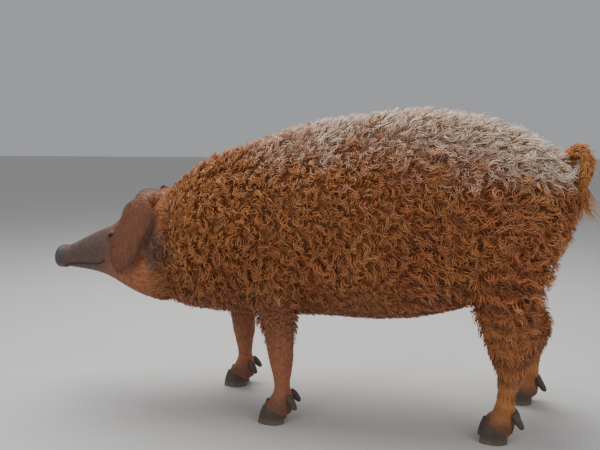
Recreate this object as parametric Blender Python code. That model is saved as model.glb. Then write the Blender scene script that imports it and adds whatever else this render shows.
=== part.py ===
"""Life-size still model of a curly-coated domestic pig of the Mangalica kind.

It stands square on four feet with the head stretched forward and low, the ears hanging over the
eyes and the tail curled. Metres, +Z up. The pig faces -X, so its left side is -Y. The outline
tables give the coat's outer surface; flesh and coat core lie inside it by named depths.
"""

import math
import random
from collections import namedtuple

import bmesh
import bpy
import numpy as np
from mathutils import Matrix, Vector
from mathutils.bvhtree import BVHTree

OBJECT = "domestic_pig"
CUTTERS = "cutters"

# Driving sizes of the whole animal
BACK_HEIGHT = 0.795
BELLY_HEIGHT = 0.254
BARREL_HALF_WIDTH = 0.206
COAT_DEPTH = 0.045
CORE_DEPTH = COAT_DEPTH / 2
MOST_BEND = 1e-6
FLAT_ANGLE = math.radians(0.05)
SHARP_ANGLE = math.radians(50)
PARTING = 0.0003

# Coat clumps: domes with a few sides, from a wide spacing on the trunk to a close one on the legs
CLUMP_SEED = 11
POOL = 9000
ON_SURFACE = 0.0005
CLUMP_SPACING = 0.084
CLUMP_SPACING_LEG = 0.052
CLUMP_REACH = (0.78, 0.92)
CLUMP_SINK = 0.010
CLUMP_GIRTHS = (0.075, 0.200)
CLUMP_SIDES = 6
CLUMP_RINGS = ((-1.0, 0.90, 0.0), (0.36, 1.0, 0.05), (0.84, 0.66, 0.15))
CLUMP_TIP_LEAN = 0.24
CLUMP_RISE = (0.85, 1.08)
CLUMP_RISE_LEG = 0.40
CLUMP_STRETCH = (1.06, 0.95)
CLUMP_STRAY = 0.25
COAT_LIE = Vector((1.0, 0.0, -0.6))
HEAD_BARE = 0.045
COAT_LEG_BOTTOM = 0.215
COAT_LEG_TOP = 0.400
CLUMPS_END_Z = 0.235

# Facets of the lofted flesh
TRUNK_SIDES = 16
HEAD_SIDES = 22
JAW_SIDES = 18
TRUNK_POWER = 2.3
HEAD_POWER = 2.2
LEG_SIDES = 12
BALL_FACETS = (12, 8)
ORBIT_FACETS = (14, 9)
SLIT_FACETS = (14, 8)
NOSTRIL_FACETS = (10, 8)

# Where the body is parted: a point of each cut and the way it faces
HEAD_CUT = (Vector((-0.572, 0, 0.430)), Vector((-0.988, 0, 0.156)))
SHOULDER_CUT = (Vector((-0.420, 0, 0.430)), Vector((-0.966, 0, 0.259)))
THIGH_CUT = (Vector((0.300, 0, 0.345)), Vector((0.545, 0, -0.838)))
FORELEG_CUT_Z = 0.236
HINDLEG_CUT_Z = 0.272
FAR = 2.0

Section = namedtuple("Section", "x top bottom half_width widest")
LegSection = namedtuple("LegSection", "z front back y half_width")

# Back line, underline and breadth of neck and trunk at the tips of the coat
TRUNK = (
    Section(-0.615, 0.530, 0.345, 0.070, 0.44),
    Section(-0.592, 0.586, 0.300, 0.104, 0.43),
    Section(-0.560, 0.613, 0.274, 0.124, 0.42),
    Section(-0.490, 0.661, 0.262, 0.145, 0.42),
    Section(-0.400, 0.700, 0.255, 0.163, 0.43),
    Section(-0.300, 0.728, BELLY_HEIGHT, 0.180, 0.45),
    Section(-0.200, 0.760, 0.256, 0.190, 0.47),
    Section(-0.100, 0.775, 0.256, 0.201, 0.48),
    Section(0.000, 0.787, BELLY_HEIGHT, BARREL_HALF_WIDTH, 0.49),
    Section(0.100, BACK_HEIGHT, 0.262, 0.203, 0.50),
    Section(0.200, 0.787, 0.284, 0.193, 0.52),
    Section(0.300, 0.760, 0.328, 0.176, 0.54),
    Section(0.380, 0.722, 0.380, 0.148, 0.56),
    Section(0.430, 0.688, 0.440, 0.112, 0.57),
    Section(0.458, 0.650, 0.510, 0.062, 0.58),
)

# Snout disc, bridge of the nose and skull, with short hair
SKULL = (
    Section(-0.898, 0.4150, 0.3600, 0.0345, 0.387),
    Section(-0.890, 0.4200, 0.3560, 0.0385, 0.387),
    Section(-0.874, 0.4190, 0.3580, 0.0350, 0.388),
    Section(-0.850, 0.4270, 0.3680, 0.0335, 0.396),
    Section(-0.815, 0.4450, 0.3710, 0.0370, 0.400),
    Section(-0.775, 0.4640, 0.3670, 0.0440, 0.404),
    Section(-0.740, 0.4780, 0.3590, 0.0580, 0.413),
    Section(-0.705, 0.4960, 0.3450, 0.0740, 0.424),
    Section(-0.670, 0.5230, 0.3300, 0.0870, 0.434),
    Section(-0.635, 0.5500, 0.3150, 0.0960, 0.446),
    Section(-0.600, 0.5760, 0.3050, 0.1030, 0.456),
    Section(-0.560, 0.5820, 0.3000, 0.1040, 0.452),
    Section(-0.520, 0.5400, 0.3200, 0.0780, 0.440),
)

# Lower jaw and jowls
JAW = (
    Section(-0.868, 0.3790, 0.3630, 0.0190, 0.371),
    Section(-0.850, 0.3850, 0.3580, 0.0260, 0.371),
    Section(-0.810, 0.3900, 0.3540, 0.0345, 0.372),
    Section(-0.770, 0.4000, 0.3470, 0.0440, 0.374),
    Section(-0.730, 0.4200, 0.3360, 0.0610, 0.374),
    Section(-0.690, 0.4400, 0.3190, 0.0830, 0.374),
    Section(-0.650, 0.4500, 0.3010, 0.1010, 0.374),
    Section(-0.610, 0.4500, 0.2870, 0.1110, 0.376),
    Section(-0.570, 0.4450, 0.2820, 0.1130, 0.380),
    Section(-0.530, 0.4300, 0.3000, 0.0900, 0.384),
)
SNOUT_TIP_X = SKULL[0].x

# Brow, cheekbone and the hollow before the eye: place on the right side, breadth and height
Mould = namedtuple("Mould", "place breadth height")
MOULDS = (
    Mould(Vector((-0.690, 0.0460, 0.4930)), 0.0190, 0.0090),
    Mould(Vector((-0.655, 0.0860, 0.4260)), 0.0260, 0.0090),
    Mould(Vector((-0.742, 0.0480, 0.4460)), 0.0200, -0.0060),
)

# Legs as level sections at the coat's surface: front edge, back edge, sideways place, half width
FORELEG = (
    LegSection(0.520, -0.330, -0.170, 0.085, 0.055),
    LegSection(0.430, -0.352, -0.150, 0.104, 0.074),
    LegSection(0.350, -0.346, -0.160, 0.114, 0.075),
    LegSection(0.290, -0.316, -0.178, 0.118, 0.065),
    LegSection(0.245, -0.291, -0.187, 0.118, 0.053),
    LegSection(0.200, -0.278, -0.195, 0.117, 0.044),
    LegSection(0.160, -0.269, -0.198, 0.116, 0.040),
    LegSection(0.125, -0.261, -0.203, 0.115, 0.033),
    LegSection(0.090, -0.257, -0.206, 0.115, 0.029),
    LegSection(0.065, -0.263, -0.200, 0.115, 0.033),
    LegSection(0.022, -0.276, -0.205, 0.115, 0.031),
)
HINDLEG = (
    LegSection(0.640, 0.200, 0.400, 0.060, 0.060),
    LegSection(0.560, 0.172, 0.440, 0.085, 0.090),
    LegSection(0.480, 0.168, 0.442, 0.104, 0.094),
    LegSection(0.420, 0.176, 0.428, 0.112, 0.088),
    LegSection(0.360, 0.194, 0.405, 0.120, 0.078),
    LegSection(0.315, 0.209, 0.392, 0.124, 0.066),
    LegSection(0.275, 0.231, 0.388, 0.126, 0.055),
    LegSection(0.240, 0.250, 0.386, 0.127, 0.046),
    LegSection(0.212, 0.266, 0.380, 0.127, 0.041),
    LegSection(0.180, 0.282, 0.364, 0.127, 0.035),
    LegSection(0.150, 0.290, 0.350, 0.126, 0.031),
    LegSection(0.110, 0.290, 0.343, 0.126, 0.028),
    LegSection(0.075, 0.284, 0.344, 0.126, 0.032),
    LegSection(0.022, 0.271, 0.338, 0.126, 0.031),
)

# How far each leg stands from the table's place, at the foot; the shift fades out up the leg
Leg = namedtuple("Leg", "name table side stride fade_from fade_to")
LEGS = (
    Leg("foreleg_left", FORELEG, -1, 0.0, 0.25, 0.50),
    Leg("foreleg_right", FORELEG, 1, -0.160, 0.25, 0.50),
    Leg("hindleg_left", HINDLEG, -1, 0.0, 0.10, 0.45),
    Leg("hindleg_right", HINDLEG, 1, 0.095, 0.15, 0.50),
)

# Feet: a pair of cloven hooves and a pair of dewclaws
DIGIT_SPREAD = 0.0190
DIGIT_HALF_WIDTH = 0.0172
DIGIT_SPLAY = math.radians(5)
DIGIT_SIDES = 10
DEWCLAW_SIDES = 6
HOOF_FRONT_HEIGHT = 0.047
HOOF_HEEL_HEIGHT = 0.024
HOOF_LENGTH = 0.068
DIGIT_LEVELS = (
    (0.0, 1.0, 1.0),
    (0.012, 0.97, 1.02),
    (0.030, 0.88, 1.0),
    (0.048, 0.74, 0.96),
    (0.062, 0.54, 0.86),
)
TOE_SHIFT = 0.014
TOE_STRETCH = 1.05
HEEL_STRETCH = 0.9
TOE_TAPER = 0.30
DEWCLAW_HEIGHT = 0.074
DEWCLAW_SINK = 0.012
DEWCLAW_LEAN = Vector((0.54, 0.28, -0.79))
DEWCLAW_PROFILE = ((0.0, 0.80), (0.35, 1.0), (0.75, 0.80), (1.0, 0.38))
DEWCLAW_LENGTH = 0.039
DEWCLAW_BARE = 0.021
DEWCLAW_SPREAD = 0.019
DEWCLAW_RADIUS = 0.0095

# Eyes
EYE_RADIUS = 0.0118
EYE_PLACE = Vector((-0.7038, 0.0530, 0.4561))
EYE_FACING = Vector((-0.34, 0.90, 0.26))
EYE_ALONG = Vector((-0.93, -0.32, -0.10))
ORBIT_RADII = (0.0250, 0.0195, 0.0172)
LID_OPENING = (0.0125, 0.0068, 0.0120)

# Nose disc, nostrils and mouth
DISC_CUT_X = -0.876
NOSTRIL_SPREAD = 0.0150
NOSTRIL_Z = 0.3920
NOSTRIL_RADII = (0.0062, 0.0078)
NOSTRIL_DEPTH = 0.013
NOSTRIL_TURN = 0.35
MOUTH_LINE = (
    (-0.864, 0.0250, 0.3690),
    (-0.845, 0.0275, 0.3735),
    (-0.815, 0.0335, 0.3757),
    (-0.785, 0.0415, 0.3760),
    (-0.760, 0.0490, 0.3795),
    (-0.742, 0.0535, 0.3880),
)
MOUTH_GAPE = 0.0030
MOUTH_DEPTH = 0.0040
MOUTH_CLEAR = 0.020
MOUTH_FRONT_HALF_WIDTH = 0.030

# Ears: a cupped leaf along a hanging curve
EAR_THICKNESS = 0.0050
EAR_FACETS = 6
EAR_STUB_END = 2
EAR_HOLLOW = Vector((-0.10, -0.86, -0.50))
EAR_BURR_RADII = (0.038, 0.046, 0.040)
EAR_BURR_DEPTH = 0.046
EAR_SPINE = (
    Vector((-0.5760, 0.0600, 0.5200)),
    Vector((-0.5790, 0.0780, 0.5480)),
    Vector((-0.5880, 0.1020, 0.5620)),
    Vector((-0.6010, 0.1220, 0.5450)),
    Vector((-0.6170, 0.1310, 0.5080)),
    Vector((-0.6390, 0.1350, 0.4640)),
    Vector((-0.6540, 0.1330, 0.4160)),
    Vector((-0.6660, 0.1270, 0.3740)),
)
EAR_HALF_WIDTHS = (0.028, 0.031, 0.035, 0.038, 0.040, 0.041, 0.033, 0.008)
EAR_CUP_ANGLES = (290, 220, 150, 110, 90, 80, 75, 70)

# Tail: up from the rump, over in a curl that drifts to the left, then down into a tuft
TAIL_SPINE = (
    Vector((0.4050, 0.0000, 0.6300)),
    Vector((0.4380, 0.0000, 0.6560)),
    Vector((0.4560, -0.0060, 0.6800)),
    Vector((0.4760, -0.0160, 0.6880)),
    Vector((0.4890, -0.0260, 0.6750)),
    Vector((0.4910, -0.0340, 0.6510)),
    Vector((0.4850, -0.0380, 0.6270)),
    Vector((0.4800, -0.0360, 0.6040)),
    Vector((0.4830, -0.0310, 0.5780)),
)
TAIL_RADII = (0.0170, 0.0125, 0.0120, 0.0120, 0.0115, 0.0105, 0.0090, 0.0070, 0.0045)
TAIL_SIDES = 9
TAIL_STUB_END = 4
TAIL_CLEARING = 0.064
UNDER_TAIL = Vector((0.4520, -0.0200, 0.5850))
TAIL_CURL_END = 9
TAIL_TUFT_LENGTH = 0.080
TAIL_TUFT_LOCKS = 6
TUFT_PROFILE = ((0.0, 0.7), (0.3, 1.0), (0.65, 0.75), (1.0, 0.12))
TUFT_FLATNESS = 0.5
TUFT_TIP_BACK = 0.018
TUFT_TIP_SPREAD = 0.014
TUFT_ROOT_SPREAD = 0.003
TUFT_HALF_WIDTH = 0.0050
TUFT_BOW = 0.006

COLOURS = {
    "coat": ((0.36, 0.15, 0.065, 1.0), 0.85),
    "face": ((0.22, 0.11, 0.07, 1.0), 0.75),
    "shank": ((0.34, 0.18, 0.10, 1.0), 0.80),
    "ear": ((0.26, 0.13, 0.08, 1.0), 0.75),
    "nose": ((0.050, 0.040, 0.042, 1.0), 0.45),
    "horn": ((0.035, 0.028, 0.025, 1.0), 0.40),
    "eye": ((0.012, 0.008, 0.006, 1.0), 0.08),
}


def clear_scene():
    """Removes what the file opened with."""
    for obj in list(bpy.data.objects):
        bpy.data.objects.remove(obj)


def gathered(name):
    """The named collection of the scene, made once."""
    found = bpy.data.collections.get(name)
    if not found:
        found = bpy.data.collections.new(name)
        bpy.context.scene.collection.children.link(found)
    return found


def move_to(obj, name):
    """Takes obj out of its collections and puts it in the named one."""
    for home in list(obj.users_collection):
        home.objects.unlink(obj)
    gathered(name).objects.link(obj)


def material(kind):
    """A Principled material of the named finish, made once."""
    found = bpy.data.materials.get(kind)
    if found:
        return found
    colour, roughness = COLOURS[kind]
    made = bpy.data.materials.new(kind)
    made.use_nodes = True
    shader = made.node_tree.nodes["Principled BSDF"]
    shader.inputs["Base Color"].default_value = colour
    shader.inputs["Roughness"].default_value = roughness
    shader.inputs["Metallic"].default_value = 0.0
    made.diffuse_color = colour
    return made


def bend_of(face):
    """How far the corners of a face lie off its plane."""
    middle = face.calc_center_median()
    face.normal_update()
    return max(abs((vert.co - middle).dot(face.normal)) for vert in face.verts)


def object_from(name, bm):
    """Links a bmesh as an object whose faces point out, its bent faces split into triangles."""
    bent = [face for face in bm.faces if bend_of(face) > MOST_BEND]
    bmesh.ops.triangulate(bm, faces=bent)
    bmesh.ops.recalc_face_normals(bm, faces=bm.faces)
    mesh = bpy.data.meshes.new(name)
    bm.to_mesh(mesh)
    bm.free()
    obj = bpy.data.objects.new(name, mesh)
    bpy.context.scene.collection.objects.link(obj)
    return obj


def loft(name, rings):
    """A closed body through rings of equal length, with both ends capped."""
    bm = bmesh.new()
    loops = [[bm.verts.new(point) for point in ring] for ring in rings]
    count = len(loops[0])
    for near, far in zip(loops, loops[1:]):
        for i in range(count):
            j = (i + 1) % count
            bm.faces.new((near[i], near[j], far[j], far[i]))
    bm.faces.new(reversed(loops[0]))
    bm.faces.new(loops[-1])
    return object_from(name, bm)


def domed(name, rings, apex):
    """A closed body through rings whose last ring closes in a fan on the apex."""
    bm = bmesh.new()
    loops = [[bm.verts.new(point) for point in ring] for ring in rings]
    tip = bm.verts.new(apex)
    count = len(loops[0])
    for near, far in zip(loops, loops[1:]):
        for i in range(count):
            j = (i + 1) % count
            bm.faces.new((near[i], near[j], far[j], far[i]))
    for i in range(count):
        bm.faces.new((loops[-1][i], loops[-1][(i + 1) % count], tip))
    bm.faces.new(reversed(loops[0]))
    return object_from(name, bm)


def boolean(base, operation, cutter=None, collection=None):
    """Applies one Boolean to base, by an object or by all of a collection, and removes them.
    The manifold solver joins the coat's clumps in seconds, where the exact one takes minutes."""
    modifier = base.modifiers.new("boolean", "BOOLEAN")
    modifier.operation = operation
    modifier.solver = "MANIFOLD"
    if collection:
        modifier.operand_type = "COLLECTION"
        modifier.collection = collection
    else:
        modifier.object = cutter
    graph = bpy.context.evaluated_depsgraph_get()
    mesh = bpy.data.meshes.new_from_object(base.evaluated_get(graph))
    base.modifiers.remove(modifier)
    base.data = mesh
    for used in list(collection.objects) if collection else [cutter]:
        bpy.data.objects.remove(used)
    if collection:
        bpy.data.collections.remove(collection)
    return base


def fused(name, pieces):
    """One closed body from closed pieces that overlap."""
    for piece in pieces[1:]:
        move_to(piece, name + "_pieces")
    base = boolean(pieces[0], "UNION", collection=gathered(name + "_pieces"))
    base.name = name
    return base


def keep_largest(obj):
    """Drops every closed surface of obj but the largest, so no scrap or sealed hollow stays."""
    bm = bmesh.new()
    bm.from_mesh(obj.data)
    bmesh.ops.triangulate(bm, faces=bm.faces)
    left, shells = set(bm.verts), []
    while left:
        shell, edge = set(), [left.pop()]
        while edge:
            vert = edge.pop()
            shell.add(vert)
            for link in vert.link_edges:
                other = link.other_vert(vert)
                if other in left:
                    left.discard(other)
                    edge.append(other)
        shells.append(shell)
    sizes = [volume_of(shell) for shell in shells]
    largest = shells[sizes.index(max(sizes))]
    loose = [vert for vert in bm.verts if vert not in largest]
    bmesh.ops.delete(bm, geom=loose, context="VERTS")
    bmesh.ops.dissolve_limit(bm, angle_limit=FLAT_ANGLE, verts=bm.verts, edges=bm.edges)
    bmesh.ops.triangulate(bm, faces=bm.faces)
    bm.to_mesh(obj.data)
    bm.free()
    return obj


def volume_of(verts):
    """Signed volume inside the triangles on these vertices."""
    faces = {face for vert in verts for face in vert.link_faces}
    return sum(
        face.verts[0].co.dot(face.verts[1].co.cross(face.verts[2].co)) / 6 for face in faces
    )


def duplicate(obj, name):
    """A copy of obj with its own mesh."""
    twin = bpy.data.objects.new(name, obj.data.copy())
    bpy.context.scene.collection.objects.link(twin)
    return twin


def block(name, low, high, turn=None, about=None):
    """A box between two corners, as a cutter, turned about a point if asked."""
    bm = bmesh.new()
    bmesh.ops.create_cube(bm, size=1.0)
    size, middle = Vector(high) - Vector(low), (Vector(high) + Vector(low)) / 2
    bmesh.ops.transform(bm, matrix=Matrix.Translation(middle) @ Matrix.Diagonal((*size, 1)),
                        verts=bm.verts)
    if turn:
        bmesh.ops.rotate(bm, cent=about, matrix=turn.to_3x3(), verts=bm.verts)
    return as_cutter(object_from(name, bm))


def as_cutter(obj):
    """Sets obj apart as a cutter: in the cutters' collection, as wires, not rendered."""
    move_to(obj, CUTTERS)
    obj.hide_render = True
    obj.display_type = "WIRE"
    return obj


def ball(name, place, radii, turn=None, facets=BALL_FACETS):
    """An ellipsoid with the given radii."""
    bm = bmesh.new()
    bmesh.ops.create_uvsphere(bm, u_segments=facets[0], v_segments=facets[1], radius=1.0)
    frame = Matrix.Translation(place) @ (turn or Matrix()) @ Matrix.Diagonal((*radii, 1))
    bmesh.ops.transform(bm, matrix=frame, verts=bm.verts)
    return object_from(name, bm)


def smooth_rows(rows, steps):
    """Rows of numbers along a Catmull-Rom curve through the given rows, steps to each span."""
    rows = np.array(rows, float)
    before = np.vstack((rows[:1], rows[:-1]))
    after = np.vstack((rows[1:], rows[-1:]))
    slopes = (after - before) / 2
    found = []
    for i in range(len(rows) - 1):
        for k in range(steps):
            t = k / steps
            found.append(
                (2 * t**3 - 3 * t**2 + 1) * rows[i]
                + (t**3 - 2 * t**2 + t) * slopes[i]
                + (3 * t**2 - 2 * t**3) * rows[i + 1]
                + (t**3 - t**2) * slopes[i + 1]
            )
    found.append(rows[-1])
    return found


def smoothstep(low, high, value):
    """0 below low, 1 above high, smooth between."""
    t = min(max((value - low) / (high - low), 0.0), 1.0)
    return t * t * (3 - 2 * t)


def body_ring(section, inset, sides, power):
    """A section across the body: an upright superellipse, widest at its own level."""
    x, top, bottom, half_width, widest = section
    ring = []
    for i in range(sides):
        angle = math.tau * i / sides
        c, s = math.cos(angle), math.sin(angle)
        wide = math.copysign(abs(c) ** (2 / power), c)
        high = math.copysign(abs(s) ** (2 / power), s)
        reach = (top - widest if s > 0 else widest - bottom) - inset
        ring.append((x, (half_width - inset) * wide, widest + reach * high))
    return ring


def leg_section(leg, row):
    """A leg's level section with the stride of that leg, fading out up the leg."""
    z, front, back, y, half_width = row
    shift = leg.stride * (1 - smoothstep(leg.fade_from, leg.fade_to, z))
    return LegSection(z, front + shift, back + shift, y * leg.side, half_width)


def leg_ring(section, inset):
    """A level section of a leg: an ellipse, drawn in by inset."""
    ring = []
    middle = (section.front + section.back) / 2
    reach = (section.back - section.front) / 2 - inset
    for i in range(LEG_SIDES):
        angle = math.tau * i / LEG_SIDES
        c, s = math.cos(angle), math.sin(angle)
        ring.append((middle + reach * c, section.y + (section.half_width - inset) * s, section.z))
    return ring


def coat_share(z):
    """How much of the coat's full depth stands at a height: all on the trunk, none near the feet."""
    return smoothstep(COAT_LEG_BOTTOM, COAT_LEG_TOP, z)


def trunk():
    """Neck and trunk at the core of the coat."""
    return loft("trunk", [body_ring(row, CORE_DEPTH, TRUNK_SIDES, TRUNK_POWER) for row in TRUNK])


def moulded(row):
    """A section of the skull with the face's forms raised or sunk along its radii."""
    ring = []
    for x, y, z in body_ring(row, 0.0, HEAD_SIDES, HEAD_POWER):
        out = Vector((0, y, z - row.widest)).normalized()
        point = Vector((x, y, z))
        for mould in MOULDS:
            away = (Vector((x, abs(y), z)) - mould.place).length / mould.breadth
            point += out * mould.height * math.exp(-away * away / 2)
        ring.append(point)
    return ring


def skull():
    """Snout, bridge and skull, and the lower jaw with the jowls."""
    rows = [Section(*row) for row in smooth_rows(SKULL, 2)]
    return [
        loft("skull", [moulded(row) for row in rows]),
        loft("jaw", [body_ring(row, 0.0, JAW_SIDES, HEAD_POWER) for row in JAW]),
    ]


def leg_loft(leg):
    """One leg from inside the trunk down past the coronets."""
    rows = [leg_section(leg, row) for row in leg.table]
    return loft(leg.name + "_flesh", [leg_ring(row, CORE_DEPTH * coat_share(row.z)) for row in rows])


def leg_flesh(leg):
    """One leg from inside the trunk to the coronets."""
    return boolean(leg_loft(leg), "INTERSECT", coronet_cutter(leg, True))


def foot_place(leg):
    """Middle of a foot on the floor, under the pastern."""
    low = leg_section(leg, leg.table[-1])
    return Vector(((low.front + low.back) / 2, low.y, 0.0))


def digit(leg, hand):
    """One toe from the pastern to the sole, pointed in front. hand is -1 or 1 for its side."""
    toe, rings = foot_place(leg), []
    for z, length, width in DIGIT_LEVELS:
        ring = []
        for i in range(DIGIT_SIDES):
            angle = math.tau * i / DIGIT_SIDES
            forward = -math.cos(angle)
            taper = 1 - TOE_TAPER * max(-forward, 0.0)
            reach = HOOF_LENGTH / 2 * length
            x = -TOE_SHIFT * length + reach * forward * (TOE_STRETCH if forward < 0 else HEEL_STRETCH)
            y = DIGIT_HALF_WIDTH * width * math.sin(angle) * taper
            ring.append(Vector((x, y, z)))
        rings.append(ring)
    splay = Matrix.Rotation(-hand * DIGIT_SPLAY, 4, "Z")
    place = Matrix.Translation(toe + Vector((0, hand * DIGIT_SPREAD, 0)))
    return loft(f"{leg.name}_digit", [[place @ splay @ p for p in ring] for ring in rings])


def coronet_cutter(leg, above):
    """A half space above or below the sloping line where hoof meets skin."""
    place = foot_place(leg)
    slope = math.atan2(HOOF_FRONT_HEIGHT - HOOF_HEEL_HEIGHT, HOOF_LENGTH)
    middle = place + Vector((0, 0, (HOOF_FRONT_HEIGHT + HOOF_HEEL_HEIGHT) / 2))
    turn = Matrix.Rotation(slope, 4, "Y")
    low, high = (PARTING / 2, FAR) if above else (-FAR, -PARTING / 2)
    corner = Vector((FAR, FAR, 0))
    return block("coronet", middle - corner + Vector((0, 0, low)),
                 middle + corner + Vector((0, 0, high)), turn, middle)


def dewclaw(leg, hand):
    """The small claw behind the fetlock: a cone that points back and down."""
    low = leg_section(leg, leg.table[-2])
    root = Vector((low.back - DEWCLAW_SINK, low.y + hand * DEWCLAW_SPREAD, DEWCLAW_HEIGHT))
    lean = mirrored(DEWCLAW_LEAN, hand).normalized()
    across = lean.orthogonal().normalized()
    over = lean.cross(across)
    rings = []
    for along, width in DEWCLAW_PROFILE:
        centre = root + lean * DEWCLAW_LENGTH * along
        radius = DEWCLAW_RADIUS * width
        rings.append([
            centre + (across * math.cos(a) + over * math.sin(a)) * radius
            for a in (math.tau * i / DEWCLAW_SIDES for i in range(DEWCLAW_SIDES))
        ])
    return loft(f"{leg.name}_dewclaw", rings), root + lean * DEWCLAW_BARE, lean


def split_by_plane(obj, name, point, normal):
    """Parts obj at a plane: obj keeps the side behind it, the new object the side in front."""
    front = duplicate(obj, name)
    turn = normal.to_track_quat("Z", "Y").to_matrix().to_4x4()
    for piece, low, high in ((obj, -FAR, -PARTING / 2), (front, PARTING / 2, FAR)):
        cutter = block("plane", point + Vector((-FAR, -FAR, low)),
                       point + Vector((FAR, FAR, high)), turn, point)
        boolean(piece, "INTERSECT", cutter)
    return front


def corners_of(mesh):
    """Corners of the mesh's triangles."""
    mesh.calc_loop_triangles()
    return [[mesh.vertices[v].co for v in t.vertices] for t in mesh.loop_triangles]


def spread_points(lofts, body, spacing_at, seed):
    """Points spread evenly over the lofts where they lie on the body's surface: of a random pool
    the farthest from those already chosen is taken next, until none is past its own spacing."""
    corners = np.array([corner for shape in lofts for corner in corners_of(shape.data)])
    cross = np.cross(corners[:, 1] - corners[:, 0], corners[:, 2] - corners[:, 0])
    area = np.linalg.norm(cross, axis=1)
    draw = np.random.default_rng(seed)
    chosen = draw.choice(len(area), POOL, p=area / area.sum())
    a, b = np.sqrt(draw.random(POOL)), draw.random(POOL)
    weights = np.stack((1 - a, a * (1 - b), a * b), axis=1)
    points = (corners[chosen] * weights[:, :, None]).sum(axis=1)
    normals = cross[chosen] / area[chosen, None]
    surface = BVHTree.FromObject(body, bpy.context.evaluated_depsgraph_get())
    bare = [surface.find_nearest(p)[3] < ON_SURFACE for p in points]
    spacing = np.array([spacing_at(Vector(p)) for p in points]) * bare
    points, normals, spacing = (v[spacing > 0] for v in (points, normals, spacing))
    picked = [int(np.argmax(points[:, 2]))]
    gap = np.linalg.norm(points - points[picked[0]], axis=1) / spacing
    while gap.max() > 1:
        picked.append(int(np.argmax(gap)))
        gap = np.minimum(gap, np.linalg.norm(points - points[picked[-1]], axis=1) / spacing)
    return [(Vector(points[i]), Vector(normals[i]), float(spacing[i])) for i in picked]


def clump_spacing(point):
    """Spacing of the coat's clumps at a point of the flesh, or 0 where the hair is short."""
    if point.z < CLUMPS_END_Z:
        return 0.0
    if (point - HEAD_CUT[0]).dot(HEAD_CUT[1]) > -HEAD_BARE:
        return 0.0
    if min((point - near).length for near in (TAIL_SPINE[1], UNDER_TAIL)) < TAIL_CLEARING:
        return 0.0
    return CLUMP_SPACING_LEG + (CLUMP_SPACING - CLUMP_SPACING_LEG) * coat_share(point.z)


def clump(root, normal, spacing, draw):
    """A rounded clump of curls: a dome sunk into the core that leans along the coat's lie."""
    lie = (COAT_LIE - normal * COAT_LIE.dot(normal)).normalized()
    across = normal.cross(lie)
    share = coat_share(root.z)
    girth = CLUMP_GIRTHS[0] + (CLUMP_GIRTHS[1] - CLUMP_GIRTHS[0]) * share
    size = spacing * draw.uniform(*CLUMP_REACH)
    height = CORE_DEPTH * draw.uniform(*CLUMP_RISE) * (CLUMP_RISE_LEG * (1 - share) + share)
    twist = draw.uniform(0, math.tau)
    aside = (lie + across * draw.uniform(-CLUMP_STRAY, CLUMP_STRAY)) * size
    rings = []
    for up, width, lean in CLUMP_RINGS:
        fall = (size * width) ** 2 / (2 * girth)
        middle = root + normal * (up * (height if up > 0 else CLUMP_SINK) - fall) + aside * lean
        rings.append([
            middle + (lie * math.cos(a) * CLUMP_STRETCH[0] + across * math.sin(a) * CLUMP_STRETCH[1])
            * size * width
            for a in (twist + math.tau * i / CLUMP_SIDES for i in range(CLUMP_SIDES))
        ])
    return domed("clump", rings, root + normal * height + aside * CLUMP_TIP_LEAN)


def coat_clumps(flesh):
    """Clumps of curls set close over neck, trunk and upper legs."""
    draw = random.Random(CLUMP_SEED)
    lofts = [trunk()] + [leg_loft(leg) for leg in LEGS]
    spots = spread_points(lofts, flesh, clump_spacing, CLUMP_SEED)
    for used in lofts:
        bpy.data.objects.remove(used)
    return [clump(point, normal, spacing, draw) for point, normal, spacing in spots]


def mirrored(point, side):
    """A point of the right side, taken to the side asked for."""
    return Vector((point.x, point.y * side, point.z))


def eye_turn(side):
    """Rotation whose Z faces out of the eye and whose X runs along the lids."""
    out = mirrored(EYE_FACING, side).normalized()
    along = mirrored(EYE_ALONG, side)
    along = (along - out * along.dot(out)).normalized()
    return Matrix((along, out.cross(along), out)).transposed().to_4x4()


def orbit(side):
    """The swelling of the lids over one eye."""
    return ball("orbit", mirrored(EYE_PLACE, side), ORBIT_RADII, eye_turn(side), ORBIT_FACETS)


def open_eye(head, side):
    """Cuts the ball's room and the almond opening between the lids."""
    place = mirrored(EYE_PLACE, side)
    room = EYE_RADIUS + PARTING
    boolean(head, "DIFFERENCE", as_cutter(ball("room", place, (room, room, room))))
    turn = eye_turn(side)
    slit = ball("slit", place + turn.to_3x3() @ Vector((0, 0, EYE_RADIUS)),
                LID_OPENING, turn, SLIT_FACETS)
    boolean(head, "DIFFERENCE", as_cutter(slit))


def ear_rings(side):
    """Sections of the cupped leaf of one ear, its hollow turned down and towards the face."""
    spine = [Vector(row) for row in smooth_rows([tuple(mirrored(p, side)) for p in EAR_SPINE], 2)]
    shape = smooth_rows(list(zip(EAR_HALF_WIDTHS, EAR_CUP_ANGLES)), 2)
    inward = mirrored(EAR_HOLLOW, side).normalized()
    rings, directions = [], []
    for i, (centre, (half_width, cup)) in enumerate(zip(spine, shape)):
        along = (spine[min(i + 1, len(spine) - 1)] - spine[max(i - 1, 0)]).normalized()
        hollow = (inward - along * inward.dot(along)).normalized()
        across = along.cross(hollow)
        half = math.radians(cup) / 2
        radius = half_width / math.sin(min(half, math.pi / 2))
        hub = centre + hollow * radius
        walls = []
        for thick in (EAR_THICKNESS / 2, -EAR_THICKNESS / 2):
            wall = []
            for k in range(EAR_FACETS + 1):
                part = 2 * k / EAR_FACETS - 1
                reach = radius + thick * (1 - 0.5 * abs(part))
                turn = half * part
                wall.append(hub + across * reach * math.sin(turn) - hollow * reach * math.cos(turn))
            walls.append(wall)
        rings.append(walls)
        directions.append(along)
    return rings, directions


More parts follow.
